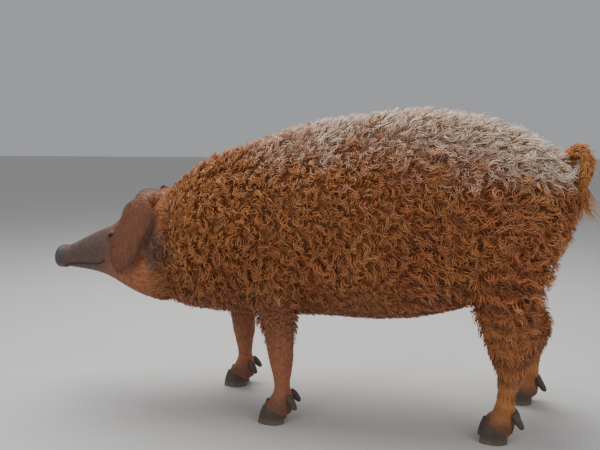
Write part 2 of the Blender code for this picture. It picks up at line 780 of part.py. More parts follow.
def leaf(name, rings, directions, first, last):
    """A thin curved body between two rings of an ear, split alike on its two faces."""
    gap = directions[first] * PARTING if first else Vector()
    stretch = [[[p + gap for p in wall] for wall in rings[first]]] + rings[first + 1:last + 1]
    bm = bmesh.new()
    grid = [[[bm.verts.new(p) for p in wall] for wall in ring] for ring in stretch]
    for (outer, inner), (far_outer, far_inner) in zip(grid, grid[1:]):
        for k in range(EAR_FACETS):
            for near, far in ((outer, far_outer), (inner, far_inner)):
                bm.faces.new((near[k], near[k + 1], far[k + 1]))
                bm.faces.new((near[k], far[k + 1], far[k]))
        for k in (0, EAR_FACETS):
            bm.faces.new((outer[k], inner[k], far_inner[k], far_outer[k]))
    for outer, inner in (grid[0], grid[-1]):
        for k in range(EAR_FACETS):
            bm.faces.new((outer[k], outer[k + 1], inner[k + 1], inner[k]))
    return object_from(name, bm)


def ear_burr(side):
    """The raised base on the head that the ear grows from."""
    rings, directions = ear_rings(side)
    along = directions[EAR_STUB_END]
    rim = rings[EAR_STUB_END][0]
    middle = sum(rim, Vector()) / len(rim) - along * EAR_BURR_DEPTH
    return ball("burr", middle, EAR_BURR_RADII, along.to_track_quat("Z", "Y").to_matrix().to_4x4())


def mouth_cutter():
    """A thin curved slab whose edge leaves the line of the mouth round the snout."""
    gape, rings = MOUTH_GAPE / 2, []
    for x, y, z in smooth_rows(MOUTH_LINE, 2):
        inner, outer = y - MOUTH_DEPTH, y + MOUTH_CLEAR
        rings.append([(x, inner, z - gape), (x, outer, z - gape),
                      (x, outer, z + gape), (x, inner, z + gape)])
    return rings


def cut_mouth(head):
    """Opens the mouth line on both sides and across the front, under the nose disc."""
    rings = mouth_cutter()
    for side in (-1, 1):
        line = loft("mouth", [[(x, y * side, z) for x, y, z in ring] for ring in rings])
        boolean(head, "DIFFERENCE", as_cutter(line))
    x, _, z = rings[0][0]
    slit = block("mouth_front", (DISC_CUT_X - MOUTH_DEPTH, -MOUTH_FRONT_HALF_WIDTH, z),
                 (x + MOUTH_DEPTH, MOUTH_FRONT_HALF_WIDTH, z + MOUTH_GAPE))
    boolean(head, "DIFFERENCE", slit)


def nose_disc(head):
    """Parts the bare disc from the snout and sinks the two nostrils into it."""
    disc = split_by_plane(head, "nose_disc", Vector((DISC_CUT_X, 0, NOSTRIL_Z)), Vector((-1, 0, 0)))
    for side in (-1, 1):
        place = Vector((SNOUT_TIP_X, side * NOSTRIL_SPREAD, NOSTRIL_Z))
        radii = (NOSTRIL_DEPTH, *NOSTRIL_RADII)
        turn = Matrix.Rotation(side * NOSTRIL_TURN, 4, "X")
        nostril = ball("nostril", place, radii, turn, NOSTRIL_FACETS)
        boolean(disc, "DIFFERENCE", as_cutter(nostril))
    return disc


def tail_rings():
    """Rings along the whole tail and the direction of the tail at each."""
    points = [Vector(row) for row in smooth_rows([tuple(p) for p in TAIL_SPINE], 2)]
    radii = smooth_rows([(r, r) for r in TAIL_RADII], 2)
    rings, directions, side = [], [], Vector((0, 1, 0))
    for i, point in enumerate(points):
        along = (points[min(i + 1, len(points) - 1)] - points[max(i - 1, 0)]).normalized()
        side = (side - along * side.dot(along)).normalized()
        over = along.cross(side)
        rings.append([
            point + (side * math.cos(a) + over * math.sin(a)) * radii[i][0]
            for a in (math.tau * k / TAIL_SIDES for k in range(TAIL_SIDES))
        ])
        directions.append(along)
    return rings, directions


def length_of(name, rings, directions, first, last):
    """The stretch of the tail between two rings, its near end moved off by the parting gap."""
    gap = directions[first] * PARTING if first else Vector()
    return loft(name, [[p + gap for p in rings[first]]] + rings[first + 1:last + 1])


def tuft_lock(root, tip, width, bow):
    """A flat lock of hair from root to tip, tapered to a point and bowed aside."""
    rings = []
    ahead = (tip - root).normalized()
    across = ahead.cross(bow).normalized()
    over = across.cross(ahead)
    for t, wide in TUFT_PROFILE:
        middle = root.lerp(tip, t) + bow * math.sin(math.pi * t)
        rings.append([
            middle + (across * math.cos(a) + over * math.sin(a) * TUFT_FLATNESS) * width * wide
            for a in (math.tau * k / 4 for k in range(4))
        ])
    return loft("tuft_lock", rings)


def tail_tuft():
    """Locks that hang from the end of the tail."""
    draw = random.Random(CLUMP_SEED)
    root, locks = TAIL_SPINE[-2], []
    for i in range(TAIL_TUFT_LOCKS):
        angle = math.tau * i / TAIL_TUFT_LOCKS
        spread = Vector((math.cos(angle), math.sin(angle), 0))
        length = TAIL_TUFT_LENGTH * draw.uniform(0.75, 1.0)
        tip = root + Vector((TUFT_TIP_BACK, 0, -length)) + spread * TUFT_TIP_SPREAD
        locks.append(tuft_lock(root + spread * TUFT_ROOT_SPREAD, tip, TUFT_HALF_WIDTH,
                               spread * TUFT_BOW))
    return locks


def finish(obj, name, kind):
    """Names a node, gives it its material and shades its round forms smooth."""
    keep_largest(obj)
    move_to(obj, OBJECT)
    obj.name = name
    obj.data.name = name
    obj.data.materials.clear()
    obj.data.materials.append(material(kind))
    obj.data.shade_smooth()
    obj.data.set_sharp_from_angle(angle=SHARP_ANGLE)
    return obj


def left_and_right(pair, name):
    """Parts what lies on both sides of the middle into a left and a right node."""
    right = split_by_plane(pair, name, Vector((0, 0, 0)), Vector((0, 1, 0)))
    return [(pair, name + "_left"), (right, name + "_right")]


def part_body(body):
    """Parts the fused body with thin cuts into head, neck, trunk and legs."""
    head = split_by_plane(body, "head", *HEAD_CUT)
    neck = split_by_plane(body, "neck", *SHOULDER_CUT)
    thighs = split_by_plane(body, "thigh", *THIGH_CUT)
    down = Vector((0, 0, -1))
    forelegs = split_by_plane(body, "foreleg", Vector((0, 0, FORELEG_CUT_Z)), down)
    shanks = split_by_plane(thighs, "shank", Vector((0, 0, HINDLEG_CUT_Z)), down)
    nodes = [(head, "head", "face")]
    nodes += [(piece, name, "coat") for piece, name in (
        (neck, "neck"), (body, "torso"), *left_and_right(thighs, "thigh"))]
    nodes += [(piece, name, "shank") for piece, name in (
        *left_and_right(forelegs, "foreleg"), *left_and_right(shanks, "shank"))]
    return nodes


def stand_on_origin(objects):
    """Moves all meshes so that the floor is at z 0 and the middle of the whole box above 0, 0."""
    corners = np.array([vert.co for obj in objects for vert in obj.data.vertices])
    middle = (corners.min(axis=0) + corners.max(axis=0)) / 2
    for obj in objects:
        obj.data.transform(Matrix.Translation((-middle[0], -middle[1], -corners[:, 2].min())))


def main():
    """Builds the flesh and coat whole, parts it with thin cuts, and adds the small nodes."""
    clear_scene()
    legs = {leg.name: [leg_flesh(leg)] for leg in LEGS}
    hooves = []
    for leg in LEGS:
        for hand, word in ((-1, "outer" if leg.side < 0 else "inner"),
                           (1, "inner" if leg.side < 0 else "outer")):
            toe = digit(leg, hand)
            hoof = boolean(duplicate(toe, "hoof"), "INTERSECT", coronet_cutter(leg, False))
            hooves.append((hoof, f"hoof_{leg.name}_{word}"))
            legs[leg.name].append(boolean(toe, "INTERSECT", coronet_cutter(leg, True)))
            claw, point, lean = dewclaw(leg, hand)
            tip = split_by_plane(claw, "claw", point, lean)
            hooves.append((tip, f"dewclaw_{leg.name}_{word}"))
            legs[leg.name].append(claw)
    skull_pieces = skull()
    ears = []
    for side in (-1, 1):
        rings, directions = ear_rings(side)
        skull_pieces += [orbit(side), ear_burr(side),
                         leaf("ear_stub", rings, directions, 0, EAR_STUB_END)]
        ears.append(leaf("ear", rings, directions, EAR_STUB_END, len(rings) - 1))
    rings, directions = tail_rings()
    stub = length_of("tail_stub", rings, directions, 0, TAIL_STUB_END)
    flesh = fused("flesh", [trunk(), stub] + skull_pieces + [p for ps in legs.values() for p in ps])
    body = fused("body", [flesh] + coat_clumps(flesh))
    keep_largest(body)

    nodes = part_body(body)
    head = nodes[0][0]
    for side in (-1, 1):
        open_eye(head, side)
    cut_mouth(head)
    nodes.append((nose_disc(head), "nose_disc", "nose"))
    for side, word in ((-1, "left"), (1, "right")):
        place = mirrored(EYE_PLACE, side)
        nodes.append((ball("eye", place, (EYE_RADIUS,) * 3), f"eye_{word}", "eye"))
        nodes.append((ears.pop(0), f"ear_{word}", "ear"))
    nodes += [(hoof, name, "horn") for hoof, name in hooves]
    rings, directions = tail_rings()
    nodes.append((length_of("tail_root", rings, directions, TAIL_STUB_END, TAIL_CURL_END),
                  "tail_root", "coat"))
    tip = length_of("tail_tip", rings, directions, TAIL_CURL_END, len(rings) - 1)
    nodes.append((fused("tail_tip", [tip] + tail_tuft()), "tail_tip", "coat"))

    for obj, name, kind in nodes:
        finish(obj, name, kind)
    stand_on_origin([obj for obj, _, _ in nodes])
    bpy.data.collections.remove(gathered(CUTTERS))


main()
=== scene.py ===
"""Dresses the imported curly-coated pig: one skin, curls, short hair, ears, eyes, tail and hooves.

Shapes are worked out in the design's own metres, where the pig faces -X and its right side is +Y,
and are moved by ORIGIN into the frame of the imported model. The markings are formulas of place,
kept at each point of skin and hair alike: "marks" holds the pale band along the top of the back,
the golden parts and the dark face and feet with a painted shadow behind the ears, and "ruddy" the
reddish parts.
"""

import math

import bpy
import numpy as np
from mathutils import Matrix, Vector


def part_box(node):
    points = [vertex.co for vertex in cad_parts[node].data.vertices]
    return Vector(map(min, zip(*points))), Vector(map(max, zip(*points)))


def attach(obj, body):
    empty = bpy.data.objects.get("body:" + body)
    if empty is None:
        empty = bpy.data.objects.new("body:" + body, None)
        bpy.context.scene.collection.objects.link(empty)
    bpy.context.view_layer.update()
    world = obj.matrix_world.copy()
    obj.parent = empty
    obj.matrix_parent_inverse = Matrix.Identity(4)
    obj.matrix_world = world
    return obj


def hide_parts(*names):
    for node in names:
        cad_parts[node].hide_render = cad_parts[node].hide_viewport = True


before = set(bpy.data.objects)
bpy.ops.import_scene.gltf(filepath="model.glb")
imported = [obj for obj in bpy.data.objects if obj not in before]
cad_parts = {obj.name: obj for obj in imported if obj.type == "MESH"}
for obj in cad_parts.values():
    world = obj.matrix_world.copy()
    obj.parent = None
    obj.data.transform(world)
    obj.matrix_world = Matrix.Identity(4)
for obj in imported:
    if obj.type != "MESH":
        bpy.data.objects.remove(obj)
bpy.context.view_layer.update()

bl_info = {
    "name": "Curly-coated pig",
    "version": (1, 0, 0),
    "blender": (4, 5, 0),
    "location": "3D View > Sidebar > Pig",
    "description": "Dresses a life-size curly-coated pig",
    "category": "Object",
}

# Sections across trunk (at the tips of its coat), skull and jaw: x, top, bottom, half width and
# the level where they are widest
TRUNK = (
    (-0.615, 0.530, 0.345, 0.070, 0.44),
    (-0.592, 0.586, 0.300, 0.104, 0.43),
    (-0.560, 0.613, 0.274, 0.124, 0.42),
    (-0.490, 0.661, 0.262, 0.145, 0.42),
    (-0.400, 0.700, 0.255, 0.163, 0.43),
    (-0.300, 0.728, 0.254, 0.180, 0.45),
    (-0.200, 0.760, 0.256, 0.190, 0.47),
    (-0.100, 0.775, 0.256, 0.201, 0.48),
    (0.000, 0.787, 0.254, 0.206, 0.49),
    (0.100, 0.795, 0.262, 0.203, 0.50),
    (0.200, 0.787, 0.284, 0.193, 0.52),
    (0.300, 0.760, 0.328, 0.176, 0.54),
    (0.380, 0.722, 0.380, 0.148, 0.56),
    (0.430, 0.688, 0.440, 0.112, 0.57),
    (0.458, 0.650, 0.510, 0.062, 0.58),
)
SKULL = (
    (-0.898, 0.415, 0.360, 0.0345, 0.387),
    (-0.890, 0.420, 0.356, 0.0385, 0.387),
    (-0.874, 0.419, 0.358, 0.0350, 0.388),
    (-0.850, 0.427, 0.368, 0.0335, 0.396),
    (-0.815, 0.445, 0.371, 0.0370, 0.400),
    (-0.775, 0.464, 0.367, 0.0440, 0.404),
    (-0.740, 0.478, 0.359, 0.0580, 0.413),
    (-0.705, 0.496, 0.345, 0.0740, 0.424),
    (-0.670, 0.523, 0.330, 0.0870, 0.434),
    (-0.635, 0.550, 0.315, 0.0960, 0.446),
    (-0.600, 0.576, 0.305, 0.1030, 0.456),
    (-0.560, 0.582, 0.300, 0.1040, 0.452),
    (-0.520, 0.540, 0.320, 0.0780, 0.440),
)
JAW = (
    (-0.868, 0.379, 0.363, 0.0190, 0.371),
    (-0.850, 0.385, 0.358, 0.0260, 0.371),
    (-0.810, 0.390, 0.354, 0.0345, 0.372),
    (-0.770, 0.400, 0.347, 0.0440, 0.374),
    (-0.730, 0.420, 0.336, 0.0610, 0.374),
    (-0.690, 0.440, 0.319, 0.0830, 0.374),
    (-0.650, 0.450, 0.301, 0.1010, 0.374),
    (-0.610, 0.450, 0.287, 0.1110, 0.376),
    (-0.570, 0.445, 0.282, 0.1130, 0.380),
    (-0.530, 0.430, 0.300, 0.0900, 0.384),
)
TRUNK_POWER, HEAD_POWER = 2.3, 2.2
# Brow, cheekbone and hollow moulded into the face on both sides: place, breadth, height
MOULDS = (
    ((-0.690, 0.0460, 0.4930), 0.0190, 0.0090),
    ((-0.655, 0.0860, 0.4260), 0.0260, 0.0090),
    ((-0.742, 0.0480, 0.4460), 0.0200, -0.0060),
)

# Legs as level sections: height, front edge, back edge, sideways place, half width
FORELEG = (
    (0.520, -0.330, -0.170, 0.085, 0.055),
    (0.430, -0.352, -0.150, 0.104, 0.074),
    (0.350, -0.346, -0.160, 0.114, 0.075),
    (0.290, -0.316, -0.178, 0.118, 0.065),
    (0.245, -0.291, -0.187, 0.118, 0.053),
    (0.200, -0.278, -0.195, 0.117, 0.044),
    (0.160, -0.269, -0.198, 0.116, 0.040),
    (0.125, -0.261, -0.203, 0.115, 0.033),
    (0.090, -0.257, -0.206, 0.115, 0.029),
    (0.065, -0.263, -0.200, 0.115, 0.033),
    (0.022, -0.276, -0.205, 0.115, 0.031),
)
HINDLEG = (
    (0.640, 0.200, 0.400, 0.060, 0.060),
    (0.560, 0.172, 0.440, 0.085, 0.090),
    (0.480, 0.168, 0.442, 0.104, 0.094),
    (0.420, 0.176, 0.428, 0.112, 0.088),
    (0.360, 0.194, 0.405, 0.120, 0.078),
    (0.315, 0.209, 0.392, 0.124, 0.066),
    (0.275, 0.231, 0.388, 0.126, 0.055),
    (0.240, 0.250, 0.386, 0.127, 0.046),
    (0.212, 0.266, 0.380, 0.127, 0.041),
    (0.180, 0.282, 0.364, 0.127, 0.035),
    (0.150, 0.290, 0.350, 0.126, 0.031),
    (0.110, 0.290, 0.343, 0.126, 0.028),
    (0.075, 0.284, 0.344, 0.126, 0.032),
    (0.022, 0.271, 0.338, 0.126, 0.031),
)
# Name, sections, side, stride at the foot, heights between which the stride fades
LEGS = (
    ("foreleg_left", FORELEG, -1, 0.0, 0.25, 0.50),
    ("foreleg_right", FORELEG, 1, -0.160, 0.25, 0.50),
    ("hindleg_left", HINDLEG, -1, 0.0, 0.10, 0.45),
    ("hindleg_right", HINDLEG, 1, 0.095, 0.15, 0.50),
)
SIDES = ((-1, "left"), (1, "right"))

# Hooves: height, length and width of a toe, the last two as shares, then how it is set out
DIGIT = ((0.0, 1.0, 1.0), (0.012, 0.97, 1.02), (0.030, 0.88, 1.0), (0.048, 0.74, 0.96),
         (0.062, 0.54, 0.86))
DIGIT_SPREAD = 0.0190
DIGIT_HALF_WIDTH = 0.0172
DIGIT_SPLAY = math.radians(5)
HOOF_LENGTH = 0.068
HOOF_FRONT_HEIGHT = 0.047
HOOF_HEEL_HEIGHT = 0.024
SOLE_BEVEL = 0.0008
TOE_SHIFT = 0.014
TOE_STRETCH, HEEL_STRETCH = 1.05, 0.9
TOE_TAPER = 0.30
DEWCLAW_HEIGHT = 0.074
DEWCLAW_SINK = 0.012
DEWCLAW_LEAN = (0.54, 0.28, -0.79)
DEWCLAW_LENGTH = 0.039
DEWCLAW_SPREAD = 0.019
DEWCLAW_RADIUS = 0.0095
DEWCLAW_PROFILE = ((0.0, 0.80), (0.35, 1.0), (0.75, 0.80), (0.93, 0.55), (1.0, 0.30))

EYE_RADIUS = 0.0118
EYE_PLACE = (-0.7038, 0.0530, 0.4561)
EYE_FACING = (-0.34, 0.90, 0.26)
EYE_ALONG = (-0.93, -0.32, -0.10)
ORBIT_RADII = (0.0250, 0.0195, 0.0172)
LID_OPENING = (0.0118, 0.0064)
# Folds round the lids: oval size, width, strength below and how much more above
LID_FOLDS = ((1.0, 0.11, 0.45, 0.55), (1.42, 0.12, 0.42, -0.20))
LID_FOLD_DEPTH = 0.0013
CORNEA_BULGE = 0.09

NOSE_RADII = (0.036, 0.030)
NOSE_Z = 0.387
NOSE_DISH, NOSE_CLEFT = 0.0022, 0.0010
NOSTRIL_PLACE = (0.0150, 0.3930)
NOSTRIL_RADII = (0.0062, 0.0078)
NOSTRIL_DEPTH = 0.0130
NOSTRIL_LEAN = (0.94, 0.34)
NOSTRIL_RIM = 0.0012
# Folds across the top of the snout: spacing and height
WRINKLES = (0.0105, 0.0007)
# Groove between the lips: width and depth. Lips: distance from the groove, width and height
MOUTH_GROOVE, LIP = (0.0021, 0.0034), (0.0062, 0.0034, 0.0012)
# Side view of the groove: x and z from under the nose disc to the corner
MOUTH_LINE = ((-0.872, 0.3640), (-0.864, 0.3680), (-0.845, 0.3725), (-0.815, 0.3755),
              (-0.785, 0.3760), (-0.762, 0.3785), (-0.748, 0.3835), (-0.740, 0.3895))

# Right ear along its spine: place, half width, angle of the cup in degrees
EAR = (
    (-0.576, 0.060, 0.520, 0.028, 290),
    (-0.579, 0.078, 0.548, 0.031, 220),
    (-0.588, 0.102, 0.562, 0.035, 150),
    (-0.601, 0.122, 0.545, 0.038, 110),
    (-0.617, 0.131, 0.508, 0.040, 90),
    (-0.639, 0.135, 0.464, 0.041, 80),
    (-0.654, 0.133, 0.416, 0.033, 75),
    (-0.666, 0.127, 0.374, 0.008, 70),
)
EAR_HOLLOW = (-0.10, -0.86, -0.50)
EAR_THICKNESS = 0.0040
EAR_STEPS, EAR_POINTS = 10, 45
EAR_BURR_ROW = 10
EAR_BURR_RADII = (0.038, 0.046, 0.040)
EAR_BURR_DEPTH = 0.046

# Tail along its spine: place, radius of the skin, then the middle of its curl
TAIL = (
    (0.405, 0.000, 0.630, 0.0170),
    (0.438, 0.000, 0.656, 0.0105),
    (0.456, -0.006, 0.680, 0.0085),
    (0.476, -0.016, 0.688, 0.0080),
    (0.489, -0.026, 0.675, 0.0075),
    (0.491, -0.034, 0.651, 0.0070),
    (0.485, -0.038, 0.627, 0.0060),
    (0.480, -0.036, 0.604, 0.0050),
    (0.483, -0.031, 0.578, 0.0030),
)
TAIL_MIDDLE = (0.4660, -0.0180, 0.6450)

# Where long coat gives way to short hair: a point of the cut behind the head and its direction,
# and the heights on the legs between which the coat grows
HEAD_CUT = ((-0.572, 0.0, 0.430), (-0.988, 0.0, 0.156))
LEG_COAT = (0.16, 0.40)
SHORT_DEPTH = 0.005
COAT_LIE, FACE_LIE, LEG_LIE = (1.0, 0.0, -0.6), (1.0, 0.0, -0.28), (0.25, 0.0, -1.0)

# Steps for each row of a table, and points round a ring
HEAD_STEPS, BODY_STEPS, TAIL_STEPS = 8, 4, 8
SKULL_RING, JAW_RING, TRUNK_RING, LEG_RING = 140, 120, 96, 48
DIGIT_RING, HOOF_RING, TAIL_RING, LID_RING = 30, 44, 20, 72

# Numbers of locks, sides of the cubes that hold one root each, and the height below which the
# curls are the legs' piece
CURL_CUBE = 0.0058
FACE_LOCKS, FACE_CUBE = 11500, 0.0031
LEG_LOCKS, LEG_CUBE = 8200, 0.0036
EAR_LOCKS, RIM_LOCKS, LASHES = 2700, 600, 46  # each ear, its rim, each eye
TAIL_LOCKS, TAIL_WISPS = 1700, 170
LEG_TOP = 0.285
COAT_PIECES = ("coat_neck", "coat_shoulder", "coat_chest", "coat_barrel", "coat_flank",
               "coat_loin", "coat_rump")
# How locks curl: chance turn of a ringlet, slow turn of the lie, turns of a lock, how far a
# ringlet draws together, how far its circles tip up, points along a lock
BODY_CURLS = dict(stray=0.55, swirl=0.90, turns=(0.9, 1.5), gather=0.50, rise=0.26, steps=7)
TAIL_CURLS = dict(stray=0.30, swirl=0.3, turns=(0.7, 1.3), gather=0.3, rise=0.6, steps=8,
                  reach=0.024, radius=0.0032, spacing=0.010, width=0.0013)
# Size of a lock's patch in the OFBake map
LOCK_PATCH = 0.003
# Bands of the hind legs: spacing, and how much lighter and darker they make the hair
BAND_SPACING = 0.044
BAND_TONE = 0.42

# Brightness of hair at its root, lower partly as painted shade deep in the coat, and at its
# tip, and marks (pale, gold, dark, ruddy) of tail and its hair
HAIR_LIGHT = {"curls": (0.90, 1.06), "short_hair": (0.85, 1.10)}
TAIL_SKIN_MARKS, TAIL_HAIR_MARKS = (0.0, 1.0, 0.0, 0.0), (0.0, 0.85, 0.0, 0.0)

# Stage: half the floor's side, the height that the lamps look at, the sensor in millimetres
FLOOR_HALF = 20.0
AIM_HEIGHT = 0.45
SENSOR = 36.0

ORIGIN = np.add(*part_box("eye_left")) / 2 - np.array(EYE_PLACE) * (1, -1, 1)


# Numbers along curves and surfaces

def fade(low, high, value):
    """0 up to low, 1 from high on, 3 t^2 - 2 t^3 between. Low may be the greater of the two."""
    t = np.clip((np.asarray(value, float) - low) / (high - low), 0.0, 1.0)
    return t * t * (3.0 - 2.0 * t)


def bell(value, width):
    """exp(-(value / width)^2)."""
    return np.exp(-((value / width) ** 2))


def columns(*values):
    """Arrays side by side along a new last axis."""
    return np.stack(np.broadcast_arrays(*values), axis=-1)


def circle(count):
    """Angles of even steps round a circle."""
    return np.arange(count) / count * math.tau


def share_of_turn(sine, cosine):
    """The angle of a direction, from 0 to 1."""
    return np.arctan2(sine, cosine) / math.tau + 0.5


def unit(vectors):
    """Vectors divided by their lengths."""
    return vectors / np.maximum(np.linalg.norm(vectors, axis=-1, keepdims=True), 1e-12)


def laid(vectors, facing):
    """Vectors without their part along facing."""
    return vectors - facing * (vectors * facing).sum(axis=1)[:, None]


def mirrored(points, side):
    """Points of the right side taken to a side, 1 for right and -1 for left."""
    return np.asarray(points, float) * (1, side, 1)


def folded(points):
    """Points of both sides laid on the right side."""
    return np.where((True, False, True), points, np.abs(points))


def curve_through(rows, steps):
    """Rows on the Catmull-Rom curve: each span blends its ends by the cubic Hermite weights."""
    rows = np.asarray(rows, float)
    before = np.vstack((rows[:1], rows[:-1]))
    after = np.vstack((rows[1:], rows[-1:]))
    slope = (after - before) / 2
    t = (np.arange(steps) / steps)[None, :, None]
    spans = (
        (2 * t**3 - 3 * t**2 + 1) * rows[:-1, None] + (t**3 - 2 * t**2 + t) * slope[:-1, None]
        + (3 * t**2 - 2 * t**3) * rows[1:, None] + (t**3 - t**2) * slope[1:, None]
    )
    return np.vstack((spans.reshape(-1, rows.shape[1]), rows[-1:]))


def wander(points, scale, seed, waves=6):
    """A smooth random field from about -1 to 1: 1.6 times the mean of sine waves of random
    directions, with lengths near scale."""
    draw = np.random.default_rng(seed)
    ways = unit(draw.normal(size=(waves, 3))) * draw.uniform(0.6, 1.5, (waves, 1))
    ways = ways * math.tau / scale
    return np.sin(points @ ways.T + draw.uniform(0, math.tau, waves)).mean(axis=-1) * 1.6


def coat_depth(z, full):
    """Depth of coat at a height: short near the feet, full over the trunk."""
    return SHORT_DEPTH + (full - SHORT_DEPTH) * fade(*LEG_COAT, z)


def head_side(points):
    """Distance in front of the cut behind the head."""
    return (points - np.array(HEAD_CUT[0])) @ unit(np.array(HEAD_CUT[1]))


def leg_bands(points):
    """Wavy level bands on the hind legs, -1 to 1: a sine of the height, shifted by a wander."""
    x, _, z = points.T
    rows = np.sin(z * math.tau / BAND_SPACING + 1.7 * wander(points, 0.12, 72))
    return rows * fade(0.46, 0.38, z) * fade(0.0, 0.1, x)


# Meshes from arrays

def tube(grid, wrap_ends=False):
    """Quads and triangles on rings (rows, around, 3): closed by a pole at each end, or by joining
    the last ring to the first. Returns points, quads and triangles that face outwards."""
    rows, around = grid.shape[:2]
    points = grid.reshape(-1, 3)
    i = np.arange(rows if wrap_ends else rows - 1)[:, None]
    j = np.arange(around)
    near, far = i * around, (i + 1) % rows * around
    quads = columns(near + j, near + (j + 1) % around, far + (j + 1) % around, far + j)
    quads = quads.reshape(-1, 4)
    tris = np.zeros((0, 3), int)
    if not wrap_ends:
        start, last = len(points), len(points) - around
        tris = np.vstack((columns(start, (j + 1) % around, j),
                          columns(start + 1, last + j, last + (j + 1) % around)))
        points = np.vstack((points, grid[0].mean(axis=0), grid[-1].mean(axis=0)))
    corners = points[np.vstack((quads[:, :3], quads[:, [0, 2, 3]], tris))]
    if np.einsum("ij,ij->i", corners[:, 0], np.cross(corners[:, 1], corners[:, 2])).sum() < 0:
        quads, tris = quads[:, ::-1], tris[:, ::-1]
    return points, quads, tris


def joined(parts):
    """Several (points, quads, triangles) as one."""
    starts = np.cumsum([0] + [len(part[0]) for part in parts[:-1]])
    quads, tris = (np.vstack([part[kind] + start for part, start in zip(parts, starts)])
                   for kind in (1, 2))
    return np.vstack([part[0] for part in parts]), quads, tris


def mesh_object(name, shape):
    """A smooth object from (points, quads, triangles) in design metres."""
    points, quads, tris = shape
    mesh = bpy.data.meshes.new(name)
    mesh.vertices.add(len(points))
    mesh.vertices.foreach_set("co", (points + ORIGIN).astype(np.float32).ravel())
    loops = np.concatenate((quads.ravel(), tris.ravel())).astype(np.int32)
    sizes = np.repeat((4, 3), (len(quads), len(tris)))
    mesh.loops.add(len(loops))
    mesh.loops.foreach_set("vertex_index", loops)
    mesh.polygons.add(len(sizes))
    mesh.polygons.foreach_set("loop_start", (np.cumsum(sizes) - sizes).astype(np.int32))
    mesh.polygons.foreach_set("use_smooth", np.ones(len(sizes), bool))
    mesh.update(calc_edges=True)
    if mesh.validate():
        raise RuntimeError(name + " has faces that aren't valid")
    obj = bpy.data.objects.new(name, mesh)
    bpy.context.scene.collection.objects.link(obj)
    return obj


def read(items, name, width, kind=np.float32):
    """One property of all the items, as rows of width numbers."""
    values = np.empty(len(items) * width, kind)
    items.foreach_get(name, values)
    return values.reshape(-1, width)


def points_and_normals(obj):
    """Design places and outward directions of an object's points."""
    return (read(obj.data.vertices, "co", 3).astype(float) - ORIGIN,
            read(obj.data.vertex_normals, "vector", 3).astype(float))


def keep(obj, **attributes):
    """Stores numbers or vectors at the points of a piece."""
    for name, values in attributes.items():
        wide = values.ndim == 2
        made = obj.data.attributes.new(name, "FLOAT_VECTOR" if wide else "FLOAT", "POINT")
        made.data.foreach_set("vector" if wide else "value", values.astype(np.float32).ravel())


def mark(obj, values):
    """Stores the markings at the points of a piece."""
    keep(obj, marks=values[:, :3], ruddy=values[:, 3])


def dress(obj, material, slot, *replaced):
    """Gives a piece its material, hides the nodes it stands for and fixes it to the body it rides
    on. The slot is not used.
    """
    obj.data.materials.append(material)
    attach(obj, "root")
    if replaced:
        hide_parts(*replaced)


# Forms of the animal

def body_grid(table, steps, count, power, inset=lambda level, sine: 0.0):
    """Rings across the body: at each x an upright superellipse |cos|^(2/p), |sin|^(2/p) between
    the top and bottom lines, widest at its own level, drawn in by inset(level, sine)."""
    c, s = np.cos(circle(count)), np.sin(circle(count))
    wide = np.sign(c) * np.abs(c) ** (2 / power)
    high = np.sign(s) * np.abs(s) ** (2 / power)
    x, top, bottom, half, level = curve_through(table, steps).T[..., None]
    reach = np.where(s > 0, top - level, level - bottom)
    deep = inset(level + reach * high, s)
    return columns(x, (half - deep) * wide, level + (reach - deep) * high)


def moulded(grid, table, steps):
    """The skull's rings with brow, cheekbone and hollow: bells exp(-d^2 / 2) along the radii."""
    level = curve_through(table, steps)[:, 4, None]
    out = unit(columns(0, grid[..., 1], grid[..., 2] - level))
    side = folded(grid)
    for place, breadth, height in MOULDS:
        away = np.linalg.norm(side - np.array(place), axis=-1, keepdims=True) / breadth
        grid = grid + out * height * np.exp(-away**2 / 2)
    return grid


def leg_rows(leg, steps):
    """Dense level sections of one leg, moved by its stride, which fades out up the leg."""
    _, table, side, stride, low, high = leg
    z, front, back, y, half = curve_through(table, steps).T
    shift = stride * (1 - fade(low, high, z))
    return columns(z, front + shift, back + shift, y * side, half)


def leg_grid(leg, full):
    """Ellipses across one leg at each height, drawn in by the depth of coat there."""
    z, front, back, y, half = leg_rows(leg, BODY_STEPS).T[..., None]
    deep = coat_depth(z, full) * fade(0.03, 0.09, z)
    angle = circle(LEG_RING)
    x = (front + back) / 2 + ((back - front) / 2 - deep) * np.cos(angle)
    return columns(x, y + (half - deep) * np.sin(angle), z)


def ellipsoid(place, radii, axes, rows=24, count=36):
    """Rings of latitude of an ellipsoid: place + axes * (radii * (cos t cos a, cos t sin a,
    sin t))."""
    t = np.linspace(-math.pi / 2, math.pi / 2, rows + 2)[1:-1, None]
    a = circle(count)
    ball = columns(np.cos(t) * np.cos(a), np.cos(t) * np.sin(a), np.sin(t))
    return np.array(place) + (ball * np.array(radii)) @ np.array(axes)


def eye_axes(side):
    """Rows: along the lids, up across them, and out of the eye."""
    out = unit(mirrored(EYE_FACING, side))
    along = mirrored(EYE_ALONG, side)
    along = unit(along - out * (along @ out))
    return np.stack((along, np.cross(out, along), out))


